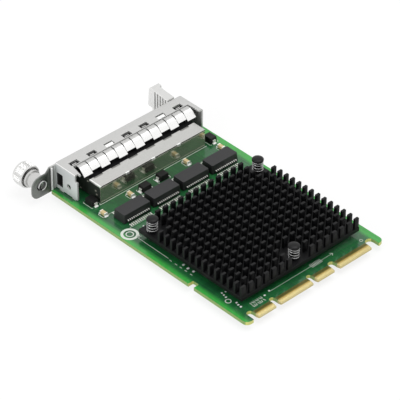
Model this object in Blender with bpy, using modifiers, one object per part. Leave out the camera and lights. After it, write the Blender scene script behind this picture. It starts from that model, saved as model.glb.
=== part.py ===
"""Small-form-factor network card: four-port jack block, pin-fin heat sink and straddle card edge.

Metres, +Z up. The board lies flat, the faceplate looks along -Y and the card edge along +Y.
Every piece is placed in the card's own frame, where the board's front edge is y = 0, its middle
x = 0 and its underside z = 0. All of them hang from one empty, which stands the card on the
world's origin by the middle of its underside.
"""

import math

import bmesh
import bpy
from mathutils import Matrix, Vector

# Clearances
SEAT_GAP = 0.0003
SOLDER_FILM = 0.0001

# Board
BOARD_LENGTH = 0.1150
BOARD_THICKNESS = 0.00157
BOARD_CORNER_RADIUS = 0.0005
GUIDE_CORNER_RADIUS = 0.0022
SIDE_NOTCH_Y = 0.0820
SIDE_NOTCH_LENGTH = 0.0032
SIDE_NOTCH_DEPTH = 0.0027
SIDE_NOTCH_RADIUS = 0.0005
RAIL_WIDTH = 0.0031

# Card edge
CONTACT_PITCH = 0.0006
CONTACT_COUNTS = (14, 28, 14, 28)
EDGE_MARGIN = 0.0005
EDGE_NOTCHES = (0.0025, 0.0024, 0.0031)
KEY_NOTCH_DEPTH = 0.0050
NEAR_GUIDE_WIDTH = 0.0038
NEAR_GUIDE_NOTCH = 0.00285
FAR_GUIDE_WIDTH = 0.00295
FAR_GUIDE_NOTCH = 0.0040
EDGE_CORNER_RADIUS = 0.0003
PLATING_THICKNESS = 0.00004
PLATING_LENGTH = 0.0038
NOSE_BEVEL_LENGTH = 0.0017
NOSE_BEVEL_DEPTH = 0.00045

# Folded bracket
SHEET = 0.0008
BRACKET_ROOM = 0.0059
BRACKET_HEADROOM = 0.0039
BRACKET_SKIRT = 0.0004
BRACKET_DEPTH = 0.0129
TOP_FLANGE_DEPTH = 0.0064
NEAR_ARM_WIDTH = 0.00355
FAR_ARM_WIDTH = 0.00275
ARM_TIP_WIDTH = 0.00215
BEND_RADIUS = 0.0010
FLANGE_STEP_DEPTH = 0.0014
FLANGE_STEP_HEIGHT = 0.0034
WINDOW_LOW = (0.0004, 0.0035)
WINDOW_HIGH = (0.0040, 0.0096)
FLANGE_HOLE = (0.0077, 0.0060)
FLANGE_HOLE_RADIUS = 0.0012
SLOT_COUNT = 7
SLOT_OFFSET = 0.00125
SLOT_LENGTH = 0.0045
SLOT_FRONT = 0.0036
SLOT_WIDTH = 0.0024
BOARD_TAB_LENGTH = 0.0022
BOARD_TAB_DROP = 0.0010
BOARD_TAB_PLACES = (0.0022, 0.0098)

# Ear of the bracket
EAR_STEP = 0.0010
EAR_REACH = 0.0051
EAR_RISE = 0.0044
EAR_DROP = 0.0056
EAR_WEB = 0.0024
EAR_TOP_RADIUS = 0.0042
EAR_BOTTOM_RADIUS = 0.0032
EAR_CORNER_RADIUS = 0.0006
EAR_LIP_WIDTH = 0.0009
EAR_LIP_DEPTH = 0.0010

# Finger strip
FINGER_COUNT = 13
FINGER_SLIT = 0.0005
FINGER_SLIT_TIP = 0.00016
STRIP_NEAR_ROOM = 0.00095
STRIP_FAR_ROOM = 0.00055
STRIP_THICKNESS = 0.0002
STRIP_SEAT = 0.00015
STRIP_LEG = 0.0008
STRIP_SUNK = 0.0001
STRIP_REACH = 0.00555
STRIP_SHORTER = 0.0010
STRIP_DROP = 0.00305
CLIP_WIDTH = 0.0026
WIDE_CLIP_WIDTH = 0.0040
WIDE_CLIPS = (1, 4)
CLIP_FRONT = 0.0006

# Jack block
PORT_COUNT = 4
PORT_WALL = 0.0023
PORT_WIDTH = 0.0119
PORT_HEIGHT = 0.0068
PORT_DEPTH = 0.0150
PORT_FLOOR = 0.0019
LATCH_WIDTH = 0.0063
LATCH_HEIGHT = 0.0027
LATCH_DEPTH = 0.0110
JACK_ROOF = 0.0013
JACK_FLOOR = 0.0008
JACK_BACK_BLOCK = 0.0054
JACK_END_WALL = 0.0006
SUNK_BACK_WALL = 0.0037
SHIELD_SHEET = 0.0003
SHIELD_LENGTH = 0.0068
SHIELD_SKIRT = 0.0009
SHIELD_TONGUES = 6
SHIELD_TONGUE_WIDTH = 0.0040
SHIELD_TONGUE_GAP = 0.0003
SHIELD_TONGUE_LENGTH = 0.0008
SHIELD_TONGUE_OFFSET = 0.0012
SHIELD_HOOK_WIDTH = 0.0016
SHIELD_HOOK_DROP = 0.0015
PLATE_MARGIN = 0.0006

# Contact inserts of the jack
INSERT_DEPTH = 0.0022
WIRE_COUNT = 8
WIRE_PITCH = 0.00102
WIRE_THICKNESS = 0.00036
WIRE_LENGTH = 0.0055
WIRE_ROOT_HEIGHT = 0.0046
WIRE_SLOPE = math.radians(19.0)

# Port lights
LIGHT_WIDTH = 0.0020
LIGHT_HEIGHT = 0.0013
LIGHT_DEPTH = 0.0060
LIGHT_OFFSET = 0.0047

# Line transformers
TRANSFORMER_COUNT = 4
TRANSFORMER_GAP = 0.0016
TRANSFORMER_OFFSET = -0.0003
TRANSFORMER_BEHIND_JACK = 0.0136
TRANSFORMER_WIDTH = 0.0146
TRANSFORMER_LENGTH = 0.0068
TRANSFORMER_TOP = 0.0059
TRANSFORMER_DRAFT = 0.0003
TRANSFORMER_CORNER = 0.0004
LEAD_COUNT = 12
LEAD_PITCH = 0.0010
LEAD_WIDTH = 0.00042
LEAD_THICKNESS = 0.0002
LEAD_SHOULDER = 0.0034
LEAD_REACH = 0.0022
LEAD_FOOT = 0.0009

# Heat sink
SINK_COLUMNS = 16
SINK_ROWS = 17
PIN_PITCH_X = 0.004165
PIN_PITCH_Y = 0.003594
PIN_WIDTH_X = 0.0023
PIN_WIDTH_Y = 0.0012
SINK_BEHIND_TRANSFORMERS = 0.01405
SINK_BASE_BOTTOM = 0.0042
SINK_BASE_THICKNESS = 0.0017
PIN_HEIGHT = 0.0048
SINK_MARGIN = 0.0002
CORNER_POCKET_COLUMNS = 2
POCKET_ROWS = 3

# Controller chip under the sink
CHIP_WIDTH = 0.0210
CHIP_SUBSTRATE = 0.0011
CHIP_CAP_WIDTH = 0.0170
CHIP_BEHIND_TRANSFORMERS = 0.0405
THERMAL_PAD = 0.0004
THERMAL_PAD_WIDTH = 0.0160

# Push pins of the sink
PUSH_PIN_SHANK = 0.0013
PUSH_PIN_HEAD_RADIUS = 0.0025
PUSH_PIN_HEAD_TOP = 0.0124
PUSH_PIN_HEAD_THICKNESS = 0.0012
PUSH_PIN_BARB_RADIUS = 0.0018
PUSH_PIN_BARB_DROP = 0.0024
PUSH_PIN_SPLIT = 0.0006
SPRING_RADIUS = 0.00215
SPRING_WIRE = 0.00025
SPRING_TURNS = 4.25

# Captive thumbscrew
SCREW_BESIDE_BOARD = 0.0044
SCREW_Z = 0.0063
KNOB_RUNNING_GAP = 0.0004
KNOB_REAR = -0.0076
KNOB_FRONT = -0.0134
KNOB_FACE = 0.0012
KNOB_WALL = 0.0009
KNURL_COUNT = 30
KNURL_DEPTH = 0.00025
SCREW_RADIUS = 0.0015
SCREW_TIP = -0.0006
SCREW_GROOVE_RADIUS = 0.0010
HUB_RADIUS = 0.0019
FERRULE_RADIUS = 0.0033
FERRULE_RIM_RADIUS = 0.0040
FERRULE_RIM_LENGTH = 0.0009
FERRULE_FRONT = -0.0070
FERRULE_LIP = 0.0006
FERRULE_WALL = 0.0005
FERRULE_SPIGOT_RADIUS = 0.0023
FERRULE_SPIGOT_PROUD = 0.0004
FERRULE_FLOOR = 0.0003
RING_THICKNESS = 0.0005

# Pull tab
TAB_INSET = 0.0021
TAB_WIDTH = 0.0050
TAB_FRONT = -0.0134
TAB_LEAN = 0.0006
TAB_TOP = 0.0149
TAB_LIP_DEPTH = 0.0030
TAB_LIP_BOTTOM = 0.0054
TAB_LIP_PROUD = 0.0011
TAB_BOTTOM = 0.0040
TAB_BODY_TOP = 0.0147
TAB_REAR_TOP = 0.0139
GROOVE_COUNT = 5
GROOVE_PITCH = 0.00163
GROOVE_BEHIND_LIP = 0.0014
GROOVE_WIDTH = 0.0009
GROOVE_DEPTH = 0.0006
GROOVE_MARGIN = 0.0004
TAB_PEG_RADIUS = 0.0009
TAB_PEG_HEAD = 0.0015
TAB_PEG_HEAD_THICKNESS = 0.0006
TAB_PEG_INSET = 0.0021
TAB_PEG_HEIGHTS = (0.0075, 0.0112)

# Small surface-mounted parts
CAPACITOR_LENGTH = 0.0032
CAPACITOR_WIDTH = 0.0016
CAPACITOR_HEIGHT = 0.0014
CAPACITOR_CAP = 0.0005
CAPACITOR_PLACES = ((0.0165, 0.0042), (0.0329, 0.0062), (-0.0152, 0.0035), (-0.0328, 0.0058))
DIODE_LENGTH = 0.0045
DIODE_WIDTH = 0.0036
DIODE_HEIGHT = 0.0024
DIODE_DRAFT = 0.0002
TERMINAL_WIDTH = 0.0015
TERMINAL_THICKNESS = 0.0002
TERMINAL_REACH = 0.0005
REAR_DIODE_PLACES = ((0.0094, 0.0051), (-0.0008, 0.0043))
NEAR_DIODE_ROOM = (0.0025, -0.0026)
FAR_DIODE_ROOM = (0.0042, -0.0013)

# Places worked out from the sizes above
PLATE_REAR = -SEAT_GAP
PLATE_FRONT = PLATE_REAR - SHEET
PORT_PITCH = PORT_WIDTH + PORT_WALL
PORT_CENTRES = [(i - (PORT_COUNT - 1) / 2) * PORT_PITCH for i in range(PORT_COUNT)]
JACK_FRONT = PLATE_REAR + SEAT_GAP
JACK_REAR = JACK_FRONT + PORT_DEPTH + JACK_BACK_BLOCK
JACK_TOP = PORT_FLOOR + PORT_HEIGHT + JACK_ROOF
JACK_BOTTOM = PORT_FLOOR - LATCH_HEIGHT - JACK_FLOOR
JACK_HALF_WIDTH = PORT_COUNT * PORT_PITCH / 2 + JACK_END_WALL
HOUSING_HALF_WIDTH = JACK_HALF_WIDTH - SHIELD_SHEET - SOLDER_FILM
SUNK_HALF_WIDTH = HOUSING_HALF_WIDTH - 2 * SHIELD_SHEET
SUNK_DEPTH = LATCH_DEPTH + SUNK_BACK_WALL
EDGE_LENGTH = (
    sum(CONTACT_COUNTS) * CONTACT_PITCH + 2 * len(CONTACT_COUNTS) * EDGE_MARGIN + sum(EDGE_NOTCHES)
)
EDGE_NEEDS = (
    NEAR_GUIDE_WIDTH + NEAR_GUIDE_NOTCH + EDGE_LENGTH + FAR_GUIDE_NOTCH + FAR_GUIDE_WIDTH
)
JACK_NEEDS = 2 * (JACK_HALF_WIDTH + BRACKET_ROOM + RAIL_WIDTH)
BOARD_WIDTH = max(EDGE_NEEDS, JACK_NEEDS)
EDGE_START_X = BOARD_WIDTH / 2 - NEAR_GUIDE_WIDTH - NEAR_GUIDE_NOTCH
BRACKET_HALF_WIDTH = BOARD_WIDTH / 2 - RAIL_WIDTH
BRACKET_TOP = JACK_TOP + BRACKET_HEADROOM
BRACKET_BOTTOM = JACK_BOTTOM - BRACKET_SKIRT
SHIELD_FRONT = JACK_REAR - SHIELD_LENGTH
STRIP_NEAR_END = BRACKET_HALF_WIDTH - NEAR_ARM_WIDTH - STRIP_NEAR_ROOM
STRIP_FAR_END = -(BRACKET_HALF_WIDTH - FAR_ARM_WIDTH - STRIP_FAR_ROOM)
FINGER_PITCH = (STRIP_NEAR_END - STRIP_FAR_END) / FINGER_COUNT
SLOT_PITCH = 2 * FINGER_PITCH
SLOT_MIDDLE = (STRIP_NEAR_END + STRIP_FAR_END) / 2 + SLOT_OFFSET
SLOT_CENTRES = [SLOT_MIDDLE + (i - (SLOT_COUNT - 1) / 2) * SLOT_PITCH for i in range(SLOT_COUNT)]
TRANSFORMER_PITCH = TRANSFORMER_WIDTH + TRANSFORMER_GAP
TRANSFORMER_Y = JACK_REAR + TRANSFORMER_BEHIND_JACK
SINK_FIRST_ROW = TRANSFORMER_Y + SINK_BEHIND_TRANSFORMERS
SINK_LAST_ROW = SINK_FIRST_ROW + (SINK_ROWS - 1) * PIN_PITCH_Y
SINK_TOP = SINK_BASE_BOTTOM + SINK_BASE_THICKNESS
CHIP_CENTRE_Y = TRANSFORMER_Y + CHIP_BEHIND_TRANSFORMERS
POCKET_MIDDLE = (POCKET_ROWS - 1) / 2 * PIN_PITCH_Y
CORNER_POCKET_X = (SINK_COLUMNS - CORNER_POCKET_COLUMNS) / 2 * PIN_PITCH_X
PUSH_PIN_PLACES = (
    (CORNER_POCKET_X, SINK_FIRST_ROW + POCKET_MIDDLE),
    (-CORNER_POCKET_X, SINK_FIRST_ROW + POCKET_MIDDLE),
    (0.0, SINK_LAST_ROW - POCKET_MIDDLE),
)
KNOB_RADIUS = FERRULE_RIM_RADIUS + KNOB_RUNNING_GAP + KNOB_WALL
SCREW_X = BOARD_WIDTH / 2 + SCREW_BESIDE_BOARD
TAB_LEFT = TAB_INSET - BRACKET_HALF_WIDTH
EAR_TOP = BRACKET_TOP - EAR_STEP
DIODE_PLACES = [(x, JACK_REAR + behind, 0.0) for x, behind in REAR_DIODE_PLACES]
DIODE_PLACES += [
    (JACK_HALF_WIDTH + NEAR_DIODE_ROOM[0], JACK_REAR + NEAR_DIODE_ROOM[1], 90.0),
    (-JACK_HALF_WIDTH - FAR_DIODE_ROOM[0], JACK_REAR + FAR_DIODE_ROOM[1], 90.0),
]
LOWEST = -PUSH_PIN_BARB_DROP
CARD_CENTRE = Vector(
    ((SCREW_X + KNOB_RADIUS - BOARD_WIDTH / 2) / 2, (BOARD_LENGTH + KNOB_FRONT) / 2, LOWEST)
)


def clear_scene():
    """Empties the file's scene, objects and collections alike."""
    for obj in list(bpy.data.objects):
        bpy.data.objects.remove(obj, do_unlink=True)
    for collection in list(bpy.data.collections):
        bpy.data.collections.remove(collection)


clear_scene()
PARTS = bpy.data.collections.new("network_card")
CUTTERS = bpy.data.collections.new("cutters")
bpy.context.scene.collection.children.link(PARTS)
bpy.context.scene.collection.children.link(CUTTERS)
CARD = bpy.data.objects.new("card_frame", None)
CARD.location = -CARD_CENTRE
PARTS.objects.link(CARD)
bpy.context.view_layer.update()


def material(name, colour, roughness, metallic=0.0):
    """A Principled material with one colour."""
    made = bpy.data.materials.new(name)
    made.use_nodes = True
    shader = made.node_tree.nodes["Principled BSDF"]
    shader.inputs["Base Color"].default_value = (*colour, 1.0)
    shader.inputs["Roughness"].default_value = roughness
    shader.inputs["Metallic"].default_value = metallic
    return made


SOLDER_MASK = material("green_solder_mask", (0.03, 0.22, 0.05), 0.35)
PLATED_STEEL = material("plated_steel", (0.62, 0.64, 0.65), 0.35, 1.0)
SPRING_STEEL = material("bright_spring_steel", (0.85, 0.85, 0.84), 0.2, 1.0)
TIN = material("tinned_steel", (0.72, 0.72, 0.70), 0.25, 1.0)
BLACK_PLASTIC = material("black_plastic", (0.02, 0.02, 0.022), 0.45)
BLACK_ANODISED = material("black_anodised_aluminium", (0.012, 0.012, 0.014), 0.5, 0.4)
GREY_PLASTIC = material("light_grey_plastic", (0.78, 0.78, 0.77), 0.5)
TAN_CERAMIC = material("tan_ceramic", (0.5, 0.36, 0.2), 0.4)
EPOXY = material("black_epoxy", (0.03, 0.03, 0.033), 0.55)
PAD_GREY = material("thermal_pad_grey", (0.4, 0.42, 0.44), 0.8)
GREEN_LENS = material("green_lens", (0.25, 0.6, 0.3), 0.2)
AMBER_LENS = material("amber_lens", (0.8, 0.5, 0.15), 0.2)


def place(obj, location=(0, 0, 0), finish=None):
    """Puts an object in the card's frame, as a part if it has a finish, else as a cutter."""
    collection = PARTS if finish else CUTTERS
    collection.objects.link(obj)
    obj.parent = CARD
    obj.location = location
    if finish:
        obj.data.materials.clear()
        obj.data.materials.append(finish)
    else:
        obj.hide_render = True
        obj.display_type = "WIRE"
    return obj


def object_of(name, shape, location=(0, 0, 0), finish=None):
    """An object made of a bmesh, which is freed."""
    bmesh.ops.recalc_face_normals(shape, faces=shape.faces)
    mesh = bpy.data.meshes.new(name)
    shape.to_mesh(mesh)
    shape.free()
    return place(bpy.data.objects.new(name, mesh), location, finish)


def add_block(shape, low, high):
    """Adds a box between two corners to a bmesh and returns its vertices."""
    low, high = Vector(low), Vector(high)
    size = high - low
    made = bmesh.ops.create_cube(shape, size=1.0)["verts"]
    bmesh.ops.scale(shape, vec=size, verts=made)
    bmesh.ops.translate(shape, vec=(low + high) / 2, verts=made)
    return made


def block(name, low, high, finish=None, bevel=0.0, segments=1):
    """A box object between two corners, with its edges rounded if asked."""
    low, high = Vector(low), Vector(high)
    shape = bmesh.new()
    add_block(shape, (low - high) / 2, (high - low) / 2)
    obj = object_of(name, shape, (low + high) / 2, finish)
    if bevel:
        rounding = obj.modifiers.new("rounded_edges", "BEVEL")
        rounding.width = bevel
        rounding.segments = segments
        rounding.limit_method = "ANGLE"
    return obj


def rounded_outline(corners, steps=3):
    """The points of a closed outline whose corners (x, y, radius) are rounded by arcs."""
    points = []
    for i, (x, y, radius) in enumerate(corners):
        here = Vector((x, y))
        if radius <= 0:
            points.append(here)
            continue
        before = (Vector(corners[i - 1][:2]) - here).normalized()
        after = (Vector(corners[(i + 1) % len(corners)][:2]) - here).normalized()
        half_angle = before.angle(after) / 2
        reach = radius / math.tan(half_angle)
        centre = here + (before + after).normalized() * (radius / math.sin(half_angle))
        start = here + before * reach - centre
        sweep = (here + after * reach - centre).angle_signed(start)
        for step in range(steps + 1):
            turn = Matrix.Rotation(sweep * step / steps, 2)
            points.append(centre + turn @ start)
    return points


PLANES = {
    "XY": Matrix.Identity(3),
    "XZ": Matrix(((1, 0, 0), (0, 0, 1), (0, 1, 0))),
    "YZ": Matrix(((0, 0, 1), (1, 0, 0), (0, 1, 0))),
}


def plate(name, outline, thickness, plane="XY", location=(0, 0, 0), finish=None):
    """A flat plate: a filled 2D curve, extruded by half its thickness each way, made a mesh."""
    curve = bpy.data.curves.new(name + "_outline", "CURVE")
    curve.dimensions = "2D"
    curve.fill_mode = "BOTH"
    curve.extrude = thickness / 2
    spline = curve.splines.new("POLY")
    spline.points.add(len(outline) - 1)
    for point, at in zip(spline.points, outline):
        point.co = (at[0], at[1], 0.0, 1.0)
    spline.use_cyclic_u = True
    flat = bpy.data.objects.new(name + "_outline", curve)
    CUTTERS.objects.link(flat)
    bpy.context.view_layer.update()
    evaluated = flat.evaluated_get(bpy.context.evaluated_depsgraph_get())
    mesh = bpy.data.meshes.new_from_object(evaluated)
    bpy.data.objects.remove(flat)
    shape = bmesh.new()
    shape.from_mesh(mesh)
    bpy.data.meshes.remove(mesh)
    bmesh.ops.remove_doubles(shape, verts=shape.verts, dist=1e-7)
    bmesh.ops.dissolve_limit(shape, angle_limit=0.001, verts=shape.verts, edges=shape.edges)
    bmesh.ops.transform(shape, matrix=PLANES[plane].to_4x4(), verts=shape.verts)
    return object_of(name, shape, location, finish)


def turned(name, profile, steps, location=(0, 0, 0), finish=None, axis="Z"):
    """A turned piece: a profile of (radius, height) points from top to bottom, spun about Z."""
    mesh = bpy.data.meshes.new(name)
    edges = [(i, i + 1) for i in range(len(profile) - 1)]
    mesh.from_pydata([(radius, 0.0, height) for radius, height in profile], edges, [])
    obj = place(bpy.data.objects.new(name, mesh), location, finish)
    screw = obj.modifiers.new("turned", "SCREW")
    screw.steps = steps
    screw.render_steps = steps
    screw.use_merge_vertices = True
    screw.merge_threshold = 1e-6
    if axis == "Y":
        obj.rotation_euler = (math.radians(-90.0), 0.0, 0.0)
    return obj


def combine(obj, tool, operation):
    """A live Boolean between an object and a hidden tool."""
    change = obj.modifiers.new(tool.name, "BOOLEAN")
    change.operation = operation
    change.object = tool
    change.solver = "EXACT"
    tool.hide_render = True
    tool.display_type = "WIRE"
    return obj


def cut(obj, tool):
    return combine(obj, tool, "DIFFERENCE")


def join(obj, tool):
    return combine(obj, tool, "UNION")


def settle(obj):
    """Applies an object's modifiers, so that copies may share its mesh, and drops its tools."""
    bpy.context.view_layer.update()
    evaluated = obj.evaluated_get(bpy.context.evaluated_depsgraph_get())
    mesh = bpy.data.meshes.new_from_object(evaluated)
    tools = [change.object for change in obj.modifiers if change.type == "BOOLEAN"]
    obj.modifiers.clear()
    obj.data = mesh
    for tool in tools:
        bpy.data.objects.remove(tool)
    return obj


def copy_of(obj, name, location, turn=0.0):
    """Another object with the same mesh, turned about Z by some degrees."""
    twin = bpy.data.objects.new(name, obj.data)
    PARTS.objects.link(twin)
    twin.parent = CARD
    twin.location = location
    twin.rotation_euler = (0.0, 0.0, math.radians(turn))
    return twin


def smooth(obj, angle=40.0):
    """Smooth shading on a round piece, with its real edges kept sharp."""
    obj.data.shade_smooth()
    obj.data.set_sharp_from_angle(angle=math.radians(angle))
    return obj


def cylinder(name, radius, low, high, at, axis="Z", sides=16):
    """A round cutter or tool between two heights along an axis."""
    shape = bmesh.new()
    bmesh.ops.create_cone(
        shape, cap_ends=True, segments=sides, radius1=radius, radius2=radius, depth=high - low
    )
    middle = (low + high) / 2
    if axis == "Y":
        bmesh.ops.rotate(shape, matrix=Matrix.Rotation(math.pi / 2, 3, "X"), verts=shape.verts)
        return object_of(name, shape, (at[0], middle, at[1]))
    if axis == "X":
        bmesh.ops.rotate(shape, matrix=Matrix.Rotation(math.pi / 2, 3, "Y"), verts=shape.verts)
        return object_of(name, shape, (middle, at[0], at[1]))
    return object_of(name, shape, (at[0], at[1], middle))


def edge_segments():
    """The x range of each contact segment of the card edge, from the near side to the far one."""
    segments = []
    start = EDGE_START_X
    for i, count in enumerate(CONTACT_COUNTS):
        end = start - count * CONTACT_PITCH - 2 * EDGE_MARGIN
        segments.append((start, end))
        if i < len(EDGE_NOTCHES):
            start = end - EDGE_NOTCHES[i]
    return segments


def board_outline():
    """The board's plan: jack cut-out, side notch, guide tabs and the notched card edge."""
    half = BOARD_WIDTH / 2
    cut_x = SUNK_HALF_WIDTH + SEAT_GAP
    cut_y = SUNK_DEPTH + SEAT_GAP
    floor = BOARD_LENGTH - KEY_NOTCH_DEPTH
    corners = [
        (-half, 0.0, BOARD_CORNER_RADIUS),
        (-cut_x, 0.0, 0.0),
        (-cut_x, cut_y, BOARD_CORNER_RADIUS),
        (cut_x, cut_y, BOARD_CORNER_RADIUS),
        (cut_x, 0.0, 0.0),
        (half, 0.0, BOARD_CORNER_RADIUS),
        (half, SIDE_NOTCH_Y, 0.0),
        (half - SIDE_NOTCH_DEPTH, SIDE_NOTCH_Y, SIDE_NOTCH_RADIUS),
        (half - SIDE_NOTCH_DEPTH, SIDE_NOTCH_Y + SIDE_NOTCH_LENGTH, SIDE_NOTCH_RADIUS),
        (half, SIDE_NOTCH_Y + SIDE_NOTCH_LENGTH, 0.0),
        (half, BOARD_LENGTH, GUIDE_CORNER_RADIUS),
    ]
    notch_start = EDGE_START_X + NEAR_GUIDE_NOTCH
    for start, end in edge_segments():
        root = 0.45 * (notch_start - start)
        corners.append((notch_start, BOARD_LENGTH, EDGE_CORNER_RADIUS))
        corners.append((notch_start, floor, root))
        corners.append((start, floor, root))
        corners.append((start, BOARD_LENGTH, EDGE_CORNER_RADIUS))
        notch_start = end
    far = notch_start - FAR_GUIDE_NOTCH
    root = 0.45 * FAR_GUIDE_NOTCH
    corners.append((notch_start, BOARD_LENGTH, EDGE_CORNER_RADIUS))
    corners.append((notch_start, floor, root))
    corners.append((far, floor, root))
    corners.append((far, BOARD_LENGTH, EDGE_CORNER_RADIUS))
    corners.append((-half, BOARD_LENGTH, GUIDE_CORNER_RADIUS))
    return rounded_outline(corners)


def make_board():
    """The bare board with its gold lands, the bevelled card edge and its holes."""
    board = plate(
        "circuit_board",
        board_outline(),
        BOARD_THICKNESS,
        location=(0, 0, BOARD_THICKNESS / 2),
        finish=SOLDER_MASK,
    )
    lands = bmesh.new()
    bevels = bmesh.new()
    front = BOARD_LENGTH - PLATING_LENGTH
    for start, end in edge_segments():
        add_block(
            lands,
            (end + EDGE_MARGIN, front, -PLATING_THICKNESS),
            (start - EDGE_MARGIN, BOARD_LENGTH - EDGE_MARGIN, BOARD_THICKNESS + PLATING_THICKNESS),
        )
    join(board, object_of("edge_lands", lands))
    slope = math.atan2(NOSE_BEVEL_DEPTH, NOSE_BEVEL_LENGTH)
    edge = edge_segments()
    for face in (-1, 1):
        middle = BOARD_THICKNESS / 2
        wedge = add_block(
            bevels,
            (edge[-1][1] - EDGE_MARGIN, -NOSE_BEVEL_LENGTH * 2, 0.0),
            (edge[0][0] + EDGE_MARGIN, NOSE_BEVEL_LENGTH * 2, face * BOARD_THICKNESS),
        )
        turn = Matrix.Rotation(-face * slope, 3, "X")
        bmesh.ops.rotate(bevels, matrix=turn, verts=wedge)
        nose = middle + face * (middle - NOSE_BEVEL_DEPTH)
        bmesh.ops.translate(bevels, vec=(0, BOARD_LENGTH, nose), verts=wedge)
    cut(board, object_of("nose_bevels", bevels))
    for i, (x, y) in enumerate(PUSH_PIN_PLACES):
        hole = cylinder(
            f"push_pin_hole_{i + 1}",
            PUSH_PIN_SHANK + SEAT_GAP,
            -BOARD_THICKNESS,
            2 * BOARD_THICKNESS,
            (x, y),
        )
        cut(board, hole)
    slots = bmesh.new()
    for side in (-1, 1):
        outer = side * (BRACKET_HALF_WIDTH + SEAT_GAP)
        inner = side * (BRACKET_HALF_WIDTH - SHEET - SEAT_GAP)
        for y in BOARD_TAB_PLACES:
            add_block(
                slots,
                (min(outer, inner), y - SEAT_GAP, -BOARD_THICKNESS),
                (max(outer, inner), y + BOARD_TAB_LENGTH + SEAT_GAP, 2 * BOARD_THICKNESS),
            )
    cut(board, object_of("bracket_tab_slots", slots))
    return board


def bracket_shell():
    """The folded sheet: front, top and two side flanges, from an open box with rounded bends."""
    shape = bmesh.new()
    add_block(
        shape,
        (-BRACKET_HALF_WIDTH, PLATE_FRONT, BRACKET_BOTTOM),
        (BRACKET_HALF_WIDTH, BRACKET_DEPTH, BRACKET_TOP),
    )
    open_faces = [face for face in shape.faces if face.normal.y > 0.5 or face.normal.z < -0.5]
    bmesh.ops.delete(shape, geom=open_faces, context="FACES")
    bends = [edge for edge in shape.edges if not edge.is_boundary]
    bmesh.ops.bevel(
        shape, geom=bends, offset=BEND_RADIUS, segments=3, profile=0.5, affect="EDGES"
    )
    bmesh.ops.recalc_face_normals(shape, faces=shape.faces)
    mesh = bpy.data.meshes.new("faceplate_bracket")
    shape.to_mesh(mesh)
    shape.free()
    bracket = place(bpy.data.objects.new("faceplate_bracket", mesh), finish=PLATED_STEEL)
    wall = bracket.modifiers.new("sheet", "SOLIDIFY")
    wall.thickness = SHEET
    wall.offset = -1.0
    wall.use_even_offset = True
    return bracket


def ear_outline():
    """The ear beside the board: a lobe round the thumbscrew with a rising web to the faceplate."""
    inner = BRACKET_HALF_WIDTH - SHEET
    end = SCREW_X + EAR_REACH
    low = SCREW_Z - EAR_DROP
    high = SCREW_Z + EAR_RISE
    return rounded_outline(
        [
            (inner, low, 0.0),
            (end, low, EAR_BOTTOM_RADIUS),
            (end, high, EAR_TOP_RADIUS),
            (SCREW_X - EAR_WEB, high, EAR_CORNER_RADIUS),
            (BOARD_WIDTH / 2, EAR_TOP, EAR_CORNER_RADIUS),
            (inner, EAR_TOP, 0.0),
        ],
        4,
    )


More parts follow.
